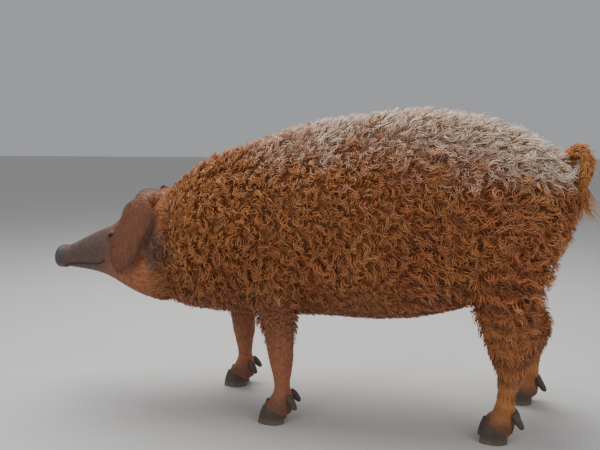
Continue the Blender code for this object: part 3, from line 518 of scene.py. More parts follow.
def digit_points(leg, hand, heights, angles, grow=0.0):
    """Points of one toe: a half ellipse in front, pointed by TOE_TAPER, and a rounder heel,
    with length and width at each height from the DIGIT profile, turned out by DIGIT_SPLAY."""
    levels, lengths, widths = np.array(DIGIT).T
    length, width = np.interp(heights, levels, lengths), np.interp(heights, levels, widths)
    forward = -np.cos(angles)
    taper = 1 - TOE_TAPER * np.maximum(-forward, 0)
    stretch = np.where(forward < 0, TOE_STRETCH, HEEL_STRETCH)
    x = -TOE_SHIFT * length + (HOOF_LENGTH / 2 * length + grow) * forward * stretch
    y = (DIGIT_HALF_WIDTH * width + grow) * np.sin(angles) * taper
    c, s = math.cos(DIGIT_SPLAY), -hand * math.sin(DIGIT_SPLAY)
    _, front, back, middle, _ = leg_rows(leg, 1)[-1]
    return columns(x * c - y * s + (front + back) / 2, x * s + y * c + middle + hand * DIGIT_SPREAD,
                   heights)


def ear_surface(side):
    """Spine, directions and both walls of a cupped ear: at each place along the spine an arc of
    the cup's angle about a hub on the hollow side, one wall outside and one inside it. The flap
    is rounded off at its tip, thinner at its edges, and rippled there by a sine along it."""
    rows = curve_through(EAR, EAR_STEPS)
    spine = mirrored(rows[:, :3], side)
    along = unit(np.gradient(spine, axis=0))
    inward = unit(mirrored(EAR_HOLLOW, side))
    hollow = unit(inward - along * (along @ inward)[:, None])
    across = np.cross(along, hollow)
    half = np.radians(rows[:, 4]) / 2
    round_off = np.sqrt(1 - fade(0.86, 1.0, np.linspace(0, 1, len(spine))) * 0.9)
    radius = rows[:, 3] * round_off / np.sin(np.minimum(half, math.pi / 2))
    part = np.linspace(-1, 1, EAR_POINTS)[None, :, None]
    turn = half[:, None, None] * part
    hub = (spine + hollow * radius[:, None])[:, None]
    ripple = 0.0018 * np.sin(np.linspace(0, 16, len(spine)))[:, None, None] * np.abs(part) ** 3
    walls = []
    for thick in (EAR_THICKNESS / 2, -EAR_THICKNESS / 2):
        reach = radius[:, None, None] + thick * (1 - 0.6 * np.abs(part)) + ripple
        walls.append(hub + across[:, None] * reach * np.sin(turn)
                     - hollow[:, None] * reach * np.cos(turn))
    return spine, along, hollow, walls


# Skin

def remeshed(name, parts, voxel, smoothing):
    """One closed surface round overlapping closed parts."""
    rough = mesh_object(name + "_rough", joined(parts))
    remesh = rough.modifiers.new("even", "REMESH")
    remesh.mode = "VOXEL"
    remesh.voxel_size = voxel
    smooth = rough.modifiers.new("smooth", "SMOOTH")
    smooth.factor = 0.5
    smooth.iterations = smoothing
    graph = bpy.context.evaluated_depsgraph_get()
    mesh = bpy.data.meshes.new_from_object(rough.evaluated_get(graph))
    points = read(mesh.vertices, "co", 3).astype(float) - ORIGIN
    totals = read(mesh.polygons, "loop_total", 1, np.int32)[:, 0]
    loops = read(mesh.loops, "vertex_index", 1, np.int32)[:, 0]
    starts = np.cumsum(totals) - totals
    quads, tris = (loops[starts[totals == n][:, None] + np.arange(n)] for n in (4, 3))
    bpy.data.objects.remove(rough)
    bpy.data.meshes.remove(mesh)
    return points, quads, tris


def carve_muzzle(points, normals):
    """Mouth, nose disc, nostrils and folds of the snout: bells and fades of the distance from
    each. Returns the moved points and the painted shade of each in the mouth's groove and the
    nostrils, from 0 to 1."""
    points, crease, side = points.copy(), np.zeros(len(points)), folded(points)
    near = np.flatnonzero((points[:, 0] < -0.71) & (points[:, 2] < 0.41))
    line = curve_through(MOUTH_LINE, 24)
    mouth = np.sqrt(((points[near][:, None, [0, 2]] - line) ** 2).sum(axis=-1)).min(axis=1)
    groove = bell(mouth, MOUTH_GROOVE[0]) * fade(0.004, 0.012, side[near, 1])
    lip = bell(mouth - LIP[0], LIP[1]) * (0.4 + 0.6 * fade(-0.735, -0.765, points[near, 0]))
    points[near] += normals[near] * (LIP[2] * lip - MOUTH_GROOVE[1] * groove)[:, None]
    # Painted shade in the groove between the lips
    crease[near] = 0.85 * groove
    dish = 1 - (side[:, 1] / NOSE_RADII[0]) ** 2 - ((points[:, 2] - NOSE_Z) / NOSE_RADII[1]) ** 2
    cleft = NOSE_CLEFT * bell(side[:, 1], 0.0016) * (points[:, 2] > 0.386)
    front = fade(-0.889, -0.896, points[:, 0])
    points[:, 0] += front * (NOSE_DISH * np.clip(dish, -0.2, 1) + cleft)
    across, up = ((side[:, 1:] - NOSTRIL_PLACE) / NOSTRIL_RADII).T
    c, s = NOSTRIL_LEAN
    across, up = across * c + up * s, up * c - across * s
    hole = np.exp(-(across**2 + up**2) ** 2 * 0.9) * fade(-0.872, -0.888, points[:, 0])
    points[:, 0] += NOSTRIL_DEPTH * hole
    # Painted shade in the nostrils
    crease = np.maximum(crease, fade(0.25, 0.8, hole))
    rim = bell(np.hypot(across, up) - 1.45, 0.35) * fade(-0.885, -0.894, points[:, 0])
    points[:, 0] -= NOSTRIL_RIM * rim
    x, _, z = points.T
    wrinkle = np.sin((x + 0.10 * z) * math.tau / WRINKLES[0])
    where = fade(-0.873, -0.862, x) * fade(-0.800, -0.840, x) * fade(0.385, 0.405, z)
    return points + normals * (WRINKLES[1] * wrinkle * where)[:, None], crease


def carve_lids(points, crease):
    """Openings between the lids, and two folds round each: bells of an oval distance.
    Painted shade is added in the openings and along the folds.
    """
    for side, _ in SIDES:
        axes = eye_axes(side)
        local = (points - mirrored(EYE_PLACE, side)) @ axes.T
        oval = np.hypot(local[:, 0] / LID_OPENING[0], local[:, 1] / LID_OPENING[1])
        facing = (local[:, 2] > 0) & (np.linalg.norm(local, axis=1) < 0.034)
        opening = fade(1.12, 0.80, oval) * facing
        sunk = np.minimum(local[:, 2], EYE_RADIUS * 0.45)
        local[:, 2] = local[:, 2] * (1 - opening) + sunk * opening
        fold = np.hypot(local[:, 0] / 0.0205, (local[:, 1] + 0.0010) / 0.0138)
        fold += 0.05 * wander(local, 0.020, 91)
        above = fade(-0.004, 0.006, local[:, 1])
        ends = 1 - 0.45 * fade(0.010, 0.020, np.abs(local[:, 0]))
        lines = sum(bell(fold - size, width) * (low + more * above) * ends
                    for size, width, low, more in LID_FOLDS)
        local[:, 2] -= LID_FOLD_DEPTH * lines * facing
        # Painted shade in the lid openings and along the folds
        crease = np.maximum(crease, np.maximum(opening, 0.55 * lines * facing))
        points = local @ axes + mirrored(EYE_PLACE, side)
    return points, crease


def markings(points):
    """Pale band along the top of the back, golden parts, dark face and feet with a painted shadow
    behind the ears, and reddish parts at design places, each 0 to 1: fades of place, of depth below
    the back line and height above the underline, with rough edges."""
    lines = np.array(TRUNK)
    x, _, z = points.T
    ahead = head_side(points)
    below = np.interp(x, lines[:, 0], lines[:, 1]) - z
    above = z - np.interp(x, lines[:, 0], lines[:, 2])
    rough = wander(points, 0.085, 3) * 0.028 + wander(points, 0.030, 4) * 0.012
    low = 0.085 + 0.050 * fade(-0.05, 0.30, x) + rough
    pale = fade(1.7, 0.30, below / low) * fade(-0.42, -0.12, x + rough)
    pale *= fade(0.505, 0.445, x) * fade(0.585, 0.650, z + 0.5 * rough)
    upper = fade(0.02, 0.12, below + rough) * fade(0.34, 0.10, below)
    gold = np.maximum.reduce((
        0.75 * fade(-0.28, -0.50, x + rough),  # neck
        fade(0.445, 0.475, x),  # root of the tail
        0.65 * upper * fade(0.30, -0.10, x),
        0.75 * fade(0.26, 0.12, z) * fade(0.0, 0.1, x),  # lower hind legs
        0.34 + 0.42 * wander(points, 0.15, 5) + 0.20 * wander(points, 0.05, 6),  # patches
    ))
    # A painted shadow: the dark oval in the cleft between the ear and the neck's coat
    behind_ear = np.hypot((x + 0.576) / 0.034, (z - 0.434 + 0.4 * (x + 0.576)) / 0.062)
    dark = np.maximum.reduce((
        fade(0.050, 0.200, ahead + 0.5 * rough),  # face
        0.6 * fade(0.085, 0.045, z),  # feet
        0.80 * fade(1.25, 0.45, behind_ear + 6 * rough),
    ))
    ruddy = np.maximum.reduce((
        0.9 * fade(0.150, 0.020, above + rough) * fade(0.32, 0.12, x),  # lower flank
        fade(0.27, 0.22, z) * fade(0.0, -0.1, x),  # forelegs
        fade(-0.06, 0.06, ahead) * fade(0.200, 0.080, ahead),  # cheeks
    ))
    return np.clip(columns(pale, gold * (1 - dark), dark, 0.8 * ruddy), 0, 1)


def skin_shape():
    """Points, normals and triangles of the skin."""
    skin = bpy.data.objects["skin"]
    skin.data.calc_loop_triangles()
    return *points_and_normals(skin), read(skin.data.loop_triangles, "vertices", 3, np.int32)


# Hair

def scatter(count, cell, seed, wanted, lie):
    """Roots spread over the skin, their outward directions and the lie of their hair, a direction
    laid into the skin. The roots are random places by area, each kept with the chance that
    wanted(places) gives, then one in each small cube of side cell, cut down to count."""
    points, normals, tris = skin_shape()
    draw = np.random.default_rng(seed)
    corners = points[tris]
    area = np.linalg.norm(np.cross(corners[:, 1] - corners[:, 0], corners[:, 2] - corners[:, 0]),
                          axis=1)
    chosen = draw.choice(len(tris), count * 8, p=area / area.sum())
    a, b = np.sqrt(draw.random(len(chosen))), draw.random(len(chosen))
    weights = columns(1 - a, a * (1 - b), a * b)[:, :, None]
    places = (corners[chosen] * weights).sum(axis=1)
    facing = unit((normals[tris[chosen]] * weights).sum(axis=1))
    chance = draw.random(len(places)) < wanted(places)
    places, facing = places[chance], facing[chance]
    cells = np.floor(places / cell).astype(np.int64)
    _, first = np.unique(cells @ np.array((73856093, 19349663, 83492791)), return_index=True)
    first = draw.permutation(first)[:count]
    return places[first], facing[first], unit(laid(np.array(lie), facing[first]))


def lock_shape(centres, widths, flatness, facing):
    """Three-sided locks that taper to a point, one along each row of centres (locks, steps, 3),
    with the given half widths (locks, steps) and thickness flatness times the width. Returns
    the mesh, and how far along and across its lock each point lies."""
    count, steps = centres.shape[:2]
    ahead = unit(np.gradient(centres, axis=1))
    side = unit(np.cross(ahead, facing[:, None] + 1e-6))
    over = np.cross(side, ahead)
    angle = np.array((math.pi / 2, math.pi * 7 / 6, math.pi * 11 / 6))[None, None, :, None]
    wide = widths[:, :-1, None, None]
    rings = (centres[:, :-1, None] + side[:, :-1, None] * wide * np.cos(angle)
             + over[:, :-1, None] * wide * flatness * np.sin(angle))
    per = 3 * (steps - 1) + 1
    points = np.concatenate((rings.reshape(count, -1, 3), centres[:, -1:]), axis=1)
    quads = [(3 * r + k, 3 * r + (k + 1) % 3, 3 * r + 3 + (k + 1) % 3, 3 * r + 3 + k)
             for r in range(steps - 2) for k in range(3)]
    last = 3 * (steps - 2)
    tris = [(0, 2, 1)] + [(last + k, last + (k + 1) % 3, per - 1) for k in range(3)]
    starts = (np.arange(count) * per)[:, None, None]
    along = np.append(np.repeat(np.linspace(0, 1, steps)[:-1], 3), 1.0)
    across = np.append(np.tile((0.5, 0.0, 1.0), steps - 1), 0.5)
    return (points.reshape(-1, 3), (starts + np.array(quads)).reshape(-1, 4),
            (starts + np.array(tris)).reshape(-1, 3), along, across)


def hair_object(name, locks, unwrap, tone, material, slot, marks=None):
    """Locks as a piece: their markings are those at the root, if none are given, and each is a
    small patch at its root's place in the OFBake map."""
    points, quads, tris, along, across = locks
    count, per = len(tone), len(along)
    obj = mesh_object(name, (points, quads, tris))
    if marks is None:
        marks = markings(points[::per])
    mark(obj, np.repeat(marks, per, axis=0))
    keep(obj, tone=np.repeat(tone, per), along=np.tile(along, count))
    places = (unwrap[:, None] + columns(across - 0.5, along - 0.5) * LOCK_PATCH).reshape(-1, 2)
    corners = np.concatenate((quads.ravel(), tris.ravel()))
    layer = obj.data.uv_layers.new(name="OFBake")
    layer.data.foreach_set("uv", places[corners].astype(np.float32).ravel())
    dress(obj, material, slot)


def in_map(u, v):
    """Places in a map, from shares of its width and height, with a margin all round."""
    return 0.02 + 0.96 * columns(u, v)


def trunk_unwrap(roots):
    """Unwrap of the trunk's skin for one piece: u along the body, v the angle round its middle."""
    x, y, z = roots.T
    middle = np.interp(x, *np.array(TRUNK).T[[0, 4]])
    return in_map((x - x.min()) / (x.max() - x.min()), share_of_turn(y, z - middle))


def leg_unwrap(roots):
    """Unwrap of the legs' skin: four strips side by side, u round each leg and v its height."""
    x, y, z = roots.T
    away, turn = [], []
    for leg in LEGS:
        level, front, back, middle, _ = leg_rows(leg, BODY_STEPS)[::-1].T
        ahead = x - np.interp(z, level, (front + back) / 2)
        aside = y - np.interp(z, level, middle)
        away.append(np.hypot(ahead, aside))
        turn.append(share_of_turn(aside, ahead))
    strip = np.argmin(away, axis=0)
    turn = np.take_along_axis(np.array(turn), strip[None], axis=0)[0]
    return columns((strip + 0.03 + turn * 0.94) / 4, 0.02 + 0.96 * z / z.max())


def ringlets(roots, spacing, draw):
    """Shares the roots out among ringlets: the number of each root's ringlet, by cubes of side
    spacing with wandering walls, and its offset from the middle of the ringlet's roots."""
    cells = np.floor((roots + draw.uniform(0, spacing, 3)) / spacing
                     + 0.28 * columns(*(wander(roots, 0.05, 30 + k) for k in range(3))))
    _, clump = np.unique(cells.astype(np.int64), axis=0, return_inverse=True)
    clump = clump.ravel()
    middle = columns(*(np.bincount(clump, axis) for axis in roots.T))
    middle /= np.bincount(clump)[:, None]
    return clump, roots - middle[clump]


def curl_locks(roots, facing, lie, sizes, draw):
    """Wavy locks in shared ringlets, and each lock's ringlet. A centre line rises by depth *
    (1 - (1 - t)^2) along the normal and runs reach * t along the lie, while it circles in the
    surface by radius * t^0.6 * (sin(a), cos(a)), tipped up by rise, where a = phase + turns * t,
    and draws together with its ringlet's other locks by gather * t."""
    clump, offset = ringlets(roots, sizes["spacing"], draw)
    total = clump.max() + 1

    def shared(low, high):
        return draw.uniform(low, high, total)[clump]

    def own(low, high):
        return draw.uniform(low, high, len(roots))

    swirl = sizes["swirl"] * wander(roots, 0.070, 71) + draw.normal(0, sizes["stray"], total)[clump]
    swirl = swirl[:, None]
    lie = unit(lie * np.cos(swirl) + np.cross(facing, lie) * np.sin(swirl))
    depth = sizes["depth"] * (shared(0.72, 1.12) * own(0.92, 1.08))
    reach = sizes["reach"] * shared(0.75, 1.2) * own(0.8, 1.2)
    radius = sizes["radius"] * shared(0.70, 1.25)
    turns = shared(*sizes["turns"]) * draw.choice((-1, 1), total)[clump]
    phase = shared(0, math.tau) + draw.normal(0, 0.42, len(roots))
    depth, reach, radius, turns, phase = (
        values[:, None, None] for values in (depth, reach, radius, turns, phase))
    offset = laid(offset, facing)[:, None]
    along, up, side = lie[:, None], facing[:, None], np.cross(facing, lie)[:, None]
    share = np.linspace(0, 1, sizes["steps"])
    t = share[None, :, None]
    angle = phase + turns * math.tau * t
    rise = sizes["rise"]
    centres = (
        roots[:, None] + up * depth * (1 - (1 - t) ** 2) + along * reach * t
        - offset * sizes["gather"] * t
        + radius * t**0.6 * (side * np.sin(angle)
                             + (along * (1 - rise) + up * rise) * np.cos(angle))
    )
    width = sizes["width"] * own(0.50, 1.35)
    return lock_shape(centres, width[:, None] * (1 - 0.80 * share**1.8), 0.6, facing), clump


def flat_locks(draw, roots, facing, lie, length, lift, width, steps=4, wave=0.0):
    """Short locks along the lie: root + lie * length * t + facing * (lift * (2 t - t^2) + wave *
    t sin(2.5 pi t + start)), bent a little to one side by t^2."""
    share = np.linspace(0, 1, steps)
    t = share[None, :, None]

    def varied(values, low, high):
        return (values * draw.uniform(low, high, len(roots)))[:, None, None]

    swing = draw.normal(0, 0.22, len(roots))[:, None]
    side = np.cross(facing, lie)
    lie = unit(lie * np.cos(swing) + side * np.sin(swing))
    long = varied(length, 0.7, 1.25)
    high = varied(lift, 0.6, 1.3)
    bend = draw.normal(0, 0.10, len(roots))[:, None, None]
    start = varied(1.0, 0, 1.5)
    ripple = np.broadcast_to(wave, len(roots))[:, None, None] * np.sin(2.5 * math.pi * t + start)
    centres = (
        roots[:, None] - facing[:, None] * 0.001 + lie[:, None] * long * t
        + facing[:, None] * (high * (2 * t - t**2) + ripple * t)
        + side[:, None] * long * bend * t**2
    )
    wide = varied(width, 0.8, 1.2)[..., 0]
    return lock_shape(centres, wide * (1 - 0.8 * share**1.5), 0.4, facing)


# Materials

class Link:
    """A socket of a material, so that its maths is written as Python expressions."""

    def __init__(self, finish, socket):
        self.finish = finish
        self.socket = socket

    def __add__(self, other):
        return self.finish.maths("ADD", self, other)

    def __sub__(self, other):
        return self.finish.maths("SUBTRACT", self, other)

    def __rsub__(self, other):
        return self.finish.maths("SUBTRACT", other, self)

    def __mul__(self, other):
        return self.finish.maths("MULTIPLY", self, other)

    __radd__ = __add__
    __rmul__ = __mul__


class Finish:
    """A Principled material whose nodes are added one by one."""

    def __init__(self, name, **constants):
        self.material = bpy.data.materials.new(name)
        self.material.use_nodes = True
        self.tree = self.material.node_tree
        self.shader = self.tree.nodes["Principled BSDF"]
        for socket, value in constants.items():
            self.shader.inputs[socket.replace("_", " ")].default_value = value

    def node(self, kind, settings, inputs, output=0):
        """Adds a node: its settings first, then the value or link of each named socket."""
        made = self.tree.nodes.new(kind)
        for name, value in settings.items():
            setattr(made, name, value)
        for name, value in inputs.items():
            if isinstance(value, Link):
                self.tree.links.new(value.socket, made.inputs[name])
            else:
                made.inputs[name].default_value = value
        return Link(self, made.outputs[output])

    def maths(self, operation, *values):
        """One step of arithmetic on values."""
        return self.node("ShaderNodeMath", {"operation": operation}, dict(enumerate(values)))

    def scaled(self, colour, share):
        """A colour times a value."""
        return self.node("ShaderNodeVectorMath", {"operation": "SCALE"},
                         {"Vector": colour, "Scale": share})

    def mix(self, share, one, other):
        """The colour that is share of the way from one to other."""
        one, other = (value if isinstance(value, Link) else (*value, 1.0)
                      for value in (one, other))
        return self.node("ShaderNodeMix", {"data_type": "RGBA"}, {0: share, 6: one, 7: other}, 2)

    def shades(self, colours, name, share):
        """From a part's deep colour to its light one."""
        return self.mix(share, getattr(colours, name + "_deep"), getattr(colours, name))

    def step(self, low, high, value):
        """0 up to low, 1 from high on, smooth between."""
        return self.node("ShaderNodeMapRange", {"interpolation_type": "SMOOTHSTEP"},
                         {"Value": value, "From Min": low, "From Max": high})

    def place(self):
        """Place on the piece."""
        return self.node("ShaderNodeTexCoord", {}, {}, "Object")

    def noise(self, scale, detail=3.0, stretch=(1, 1, 1)):
        """Smooth random pattern of features 1 / scale metres wide, from 0 to 1."""
        place = self.node("ShaderNodeMapping", {}, {"Vector": self.place(), "Scale": stretch})
        return self.node("ShaderNodeTexNoise", {},
                         {"Vector": place, "Scale": scale, "Detail": detail}, "Fac")

    def attribute(self, name, output="Fac"):
        """A value kept at each point of the piece."""
        return self.node("ShaderNodeAttribute", {"attribute_name": name}, {}, output)

    def split(self, vector):
        """The three values of a vector."""
        first = self.node("ShaderNodeSeparateXYZ", {}, {"Vector": vector})
        return [Link(self, socket) for socket in first.socket.node.outputs]

    def feed(self, **sockets):
        """Links values to the shader's own sockets."""
        for name, value in sockets.items():
            self.tree.links.new(value.socket, self.shader.inputs[name.replace("_", " ")])

    def bump(self, height, distance):
        """Surface relief from a height."""
        self.feed(Normal=self.node("ShaderNodeBump", {}, {"Height": height, "Distance": distance,
                                                          "Strength": 1.0}))


def pelt_colour(finish, colours, light, bright):
    """Colour of hair or skin from its markings: rust, then gold, ruddy, pale and dark laid over
    it, the dark one also a painted shadow behind the ears, each from a deep to a light colour by
    light, with patches and fine mottling."""
    pale, gold, dark = finish.split(finish.attribute("marks", "Vector"))
    patch = finish.step(0.30, 0.70, finish.noise(14.0, 4.0))
    fine = finish.step(0.30, 0.72, finish.noise(95.0))
    share = light * (0.60 + 0.40 * patch) + 0.18 * fine
    colour = finish.shades(colours, "rust", share)
    layers = (("gold", gold, share), ("ruddy", finish.attribute("ruddy"), share),
              ("pale", pale, share), ("face", dark, 0.5 * fine + 0.5 * light))
    for name, cover, way in layers:
        colour = finish.mix(cover, colour, finish.shades(colours, name, way))
    return finish.scaled(colour, bright)


def hair_finish(name, colours):
    """Hair, made once for each name: dark at the root, partly its own deeper colour and partly
    painted shade deep in the coat, and light at the tip, with a tone for each lock, which low on
    the body also holds painted shade."""
    if name in bpy.data.materials:
        return bpy.data.materials[name]
    finish = Finish(name, Roughness=0.62, Sheen_Weight=0.12, Sheen_Roughness=0.45)
    root, tip = HAIR_LIGHT[name]
    light = finish.step(0.10, 0.95, finish.attribute("along"))
    # The darker root is partly painted shade deep in the coat
    bright = (root + (tip - root) * light) * finish.attribute("tone")
    finish.feed(Base_Color=pelt_colour(finish, colours, light, bright),
                Roughness=0.50 + 0.22 * finish.noise(240.0, 2.0))
    return finish.material


def skin_finish(colours):
    """Skin under hair: mottled, finely lined along the lie, bare and moist on the nose.
    Painted shade darkens it in the creases and between the hair of the coat, and makes it near
    black in the nostrils.
    """
    finish = Finish("skin", Roughness=0.6)
    crease = finish.attribute("crease")
    nose = finish.attribute("nose")
    strands = finish.noise(190.0, 4.0, (0.30, 1.0, 1.0))
    pores = finish.noise(620.0, 2.0)
    folds = finish.noise(46.0, 3.0, (0.55, 1.0, 1.0))
    # Painted shade darkens the skin in the creases of mouth, nostrils and lids, and between the
    # hair
    shade = (0.78 + 0.40 * strands) * (1.0 - 0.72 * crease)
    coat = pelt_colour(finish, colours, 0.20 + 0.45 * strands, shade)
    bare = finish.shades(colours, "nose", 0.5 * finish.noise(120.0) + 0.5 * pores)
    # Painted shade: the nostrils near black
    bare = finish.mix(crease, bare, (0.012, 0.009, 0.010))
    finish.feed(Base_Color=finish.mix(nose, coat, bare),
                Roughness=0.66 - 0.24 * nose + 0.10 * pores)
    finish.bump(strands * 0.55 + pores * 0.25 + folds * 0.9, 0.0022)
    return finish.material


def ear_finish(colours):
    """Ear skin: warm, lined along the flap, darker at the rim, with branching veins."""
    finish = Finish("ear", Roughness=0.62, Subsurface_Weight=0.10, Subsurface_Scale=0.01)
    veins = finish.node("ShaderNodeTexVoronoi", {"feature": "DISTANCE_TO_EDGE"},
                        {"Vector": finish.place(), "Scale": 38.0}, "Distance")
    vein = finish.step(0.10, 0.0, veins)
    strands = finish.noise(210.0, 4.0, (1.0, 1.0, 0.25))
    colour = finish.shades(colours, "ear", strands)
    colour = finish.mix(finish.attribute("rim") * 0.75, colour, colours.face_deep)
    finish.feed(Base_Color=finish.mix(vein * 0.25, colour, colours.ear_deep))
    finish.bump(strands + vein * 0.35, 0.0012)
    return finish.material


def eye_finish():
    """Wet eye: dark pupil, brown iris with spokes, dark rim of the white."""
    finish = Finish("eye", Roughness=0.08, Coat_Weight=1.0, Coat_Roughness=0.02)
    across = finish.attribute("iris")
    spokes = finish.noise(900.0, 2.0)
    iris = finish.mix(spokes, (0.040, 0.016, 0.006), (0.170, 0.075, 0.028))
    colour = finish.mix(finish.step(0.26, 0.32, across), (0.003, 0.002, 0.002), iris)
    colour = finish.mix(finish.step(0.62, 0.76, across), colour, (0.055, 0.036, 0.030))
    finish.feed(Base_Color=colour, Roughness=0.06 + 0.05 * spokes)
    return finish.material


def lid_finish():
    """Dark bare skin of the lids, with fine wrinkles."""
    finish = Finish("lid", Roughness=0.5)
    fine = finish.noise(420.0)
    finish.feed(Base_Color=finish.mix(fine, (0.035, 0.020, 0.017), (0.085, 0.048, 0.038)))
    finish.bump(fine, 0.0006)
    return finish.material


def horn_finish(colours):
    """Hoof horn: growth rings across, streaks down, dusty near the ground."""
    finish = Finish("horn", Roughness=0.45)
    rings = finish.noise(70.0, 3.0, (0.25, 0.25, 3.2))
    streaks = finish.noise(160.0, 3.0, (1.0, 1.0, 0.10))
    dust = finish.step(0.022, 0.0, finish.split(finish.place())[2]) * finish.noise(90.0)
    colour = finish.shades(colours, "horn", rings * 0.6 + streaks * 0.4)
    finish.feed(Base_Color=finish.mix(dust * 0.8, colour, (0.30, 0.24, 0.17)),
                Roughness=0.38 + 0.30 * rings)
    finish.bump(rings * 0.8 + streaks * 0.5, 0.0014)
    return finish.material


def floor_finish():
    """Plain pale floor, faintly clouded."""
    finish = Finish("floor", Roughness=0.8)
    finish.feed(Base_Color=finish.mix(finish.noise(3.0), (0.60, 0.59, 0.57), (0.64, 0.63, 0.61)))
    return finish.material


# Settings

def a_colour(name, what, value):
    """A colour that the user can change."""
    return bpy.props.FloatVectorProperty(name=name, description=what, default=value, size=3,
                                         subtype="COLOR", min=0.0, max=1.0)


def a_length(name, what, value):
    """A length that the user can change."""
    return bpy.props.FloatProperty(name=name, description=what, default=value, unit="LENGTH",
                                   min=0.0, precision=4)


def a_number(name, what, value, **kind):
    """An angle, focal length or power that the user can change."""
    return bpy.props.FloatProperty(name=name, description=what, default=value, **kind)


class PigColours(bpy.types.PropertyGroup):
    """Colours of hair, skin and horn."""

    # The deep colours of the hair go at its roots: partly its own deeper colour, partly painted
    # shade deep in the coat
    rust: a_colour("Rust", "Tips of the hair of the sides", (0.550, 0.182, 0.056))
    rust_deep: a_colour("Deep rust", "Roots of the sides' hair", (0.395, 0.105, 0.024))
    gold: a_colour("Gold", "Tips of golden hair", (0.660, 0.300, 0.090))
    gold_deep: a_colour("Deep gold", "Roots of golden hair", (0.480, 0.175, 0.038))
    # Pale: hair of the lighter band along the top of the back
    pale: a_colour("Pale", "Tips of the saddle's hair", (0.900, 0.735, 0.585))
    pale_deep: a_colour("Deep pale", "Roots of the saddle's hair", (0.700, 0.510, 0.370))
    ruddy: a_colour("Ruddy", "Tips of hair over pink skin", (0.470, 0.180, 0.095))
    ruddy_deep: a_colour("Deep ruddy", "Roots over pink skin", (0.320, 0.098, 0.044))
    # Face and nose: their own darker colours, darkened further by painted shade
    face: a_colour("Face", "Lighter hair of the face", (0.160, 0.098, 0.076))
    face_deep: a_colour("Deep face", "Darker hair of the face", (0.082, 0.049, 0.039))
    ear: a_colour("Ear", "Lighter skin of the ears", (0.280, 0.098, 0.042))
    ear_deep: a_colour("Deep ear", "Darker skin of the ears", (0.150, 0.052, 0.027))
    nose: a_colour("Nose", "Lighter skin of the nose", (0.098, 0.070, 0.072))
    nose_deep: a_colour("Deep nose", "Darker skin of the nose", (0.048, 0.034, 0.037))
    horn: a_colour("Horn", "Lighter horn of the hooves", (0.120, 0.085, 0.060))
    horn_deep: a_colour("Deep horn", "Darker horn of the hooves", (0.035, 0.026, 0.022))


class PigCoat(bpy.types.PropertyGroup):
    """Sizes of the coat."""

    depth: a_length("Depth", "Depth of the curls on the trunk", 0.036)
    reach: a_length("Reach", "How far a curl runs along the body", 0.027)
    radius: a_length("Curl radius", "How far a curl sways sideways", 0.0076)
    spacing: a_length("Ringlet spacing", "Distance between ringlets", 0.0165)
    width: a_length("Lock width", "Half width of a lock at its root", 0.0018)
    face_length: a_length("Face hair", "Length of the hair of the face", 0.011)
    skin_voxel: a_length("Skin detail", "Size of the faces of the body's skin", 0.0082)
    head_voxel: a_length("Head detail", "Size of the faces of the head's skin", 0.0024)
    curls: bpy.props.IntProperty(name="Curls", description="Locks on neck, trunk and upper legs",
                                 default=31500, min=1)


class PigStage(bpy.types.PropertyGroup):
    """Camera and light."""

    camera_place: bpy.props.FloatVectorProperty(
        name="Camera", description="Place of the camera in design metres",
        default=(0.10, -1.67, 0.725), size=3, subtype="TRANSLATION", unit="LENGTH")
    camera_yaw: a_number("Yaw", "Turn of the camera to the snout", math.radians(10.4),
                         subtype="ANGLE")
    camera_pitch: a_number("Pitch", "Downward tilt of the camera", math.radians(7.8),
                           subtype="ANGLE")
    lens: a_number("Lens", "Focal length for a 36 mm sensor", 39.0, subtype="DISTANCE_CAMERA")
    key: a_number("Key light", "Power of the light above", 78.0, subtype="POWER", min=0.0)
    fill: a_number("Fill light", "Power of each light at the sides", 16.0, subtype="POWER", min=0.0)


# Pieces

class PIG_OT_skin(bpy.types.Operator):
    """Makes the one skin of head, neck, trunk and legs"""

    bl_idname = "pig.skin"
    bl_label = "Skin"

    def execute(self, context):
        coat = context.scene.pig_coat
        skull = body_grid(SKULL, HEAD_STEPS, SKULL_RING, HEAD_POWER)
        head = [tube(moulded(skull, SKULL, HEAD_STEPS)),
                tube(body_grid(JAW, HEAD_STEPS, JAW_RING, HEAD_POWER))]
        for side, _ in SIDES:
            head.append(tube(ellipsoid(mirrored(EYE_PLACE, side), ORBIT_RADII, eye_axes(side))))
            _, along, hollow, walls = ear_surface(side)
            along, hollow, wall = (rows[EAR_BURR_ROW] for rows in (along, hollow, walls[0]))
            turn = np.stack((hollow, np.cross(along, hollow), along))
            place = wall.mean(axis=0) - along * EAR_BURR_DEPTH
            head.append(tube(ellipsoid(place, EAR_BURR_RADII, turn)))

        def inset(z, sine):
            return coat_depth(z, coat.depth) * (0.55 + 0.45 * fade(-0.95, -0.25, sine))

        body = [tube(body_grid(TRUNK, BODY_STEPS, TRUNK_RING, TRUNK_POWER, inset))]
        for leg in LEGS:
            body.append(tube(leg_grid(leg, coat.depth)))
            for hand in (-1, 1):
                heights = np.linspace(0.006, 0.060, 12)[:, None]
                body.append(tube(digit_points(leg, hand, heights, circle(DIGIT_RING),
                                              grow=-0.0012)))
        head = remeshed("head", head, coat.head_voxel, smoothing=4)
        body = remeshed("body", body, coat.skin_voxel, smoothing=6)
        smooth = mesh_object("smooth_head", head)
        points, crease = carve_lids(*carve_muzzle(*points_and_normals(smooth)))
        bpy.data.objects.remove(smooth)
        shape = joined([(points, *head[1:]), body])
        # Painted shade on the skin between the hair: more under the trunk's deep coat, less on the
        # lower legs, with the legs' bands
        painted_coat_shade = 0.22 + 0.20 * fade(0.20, 0.34, body[0][:, 2]) - 0.20 * leg_bands(body[0])
        skin = mesh_object("skin", shape)
        mark(skin, markings(shape[0]))
        keep(skin, crease=np.concatenate((crease, painted_coat_shade)),
             nose=fade(-0.868, -0.877, shape[0][:, 0]))
        legs = [f"{part}_{side}" for part in ("thigh", "shank", "foreleg")
                for side in ("left", "right")]
        dress(skin, skin_finish(context.scene.pig_colours), "face",
              "head", "neck", "torso", "nose_disc", *legs)
        return {"FINISHED"}


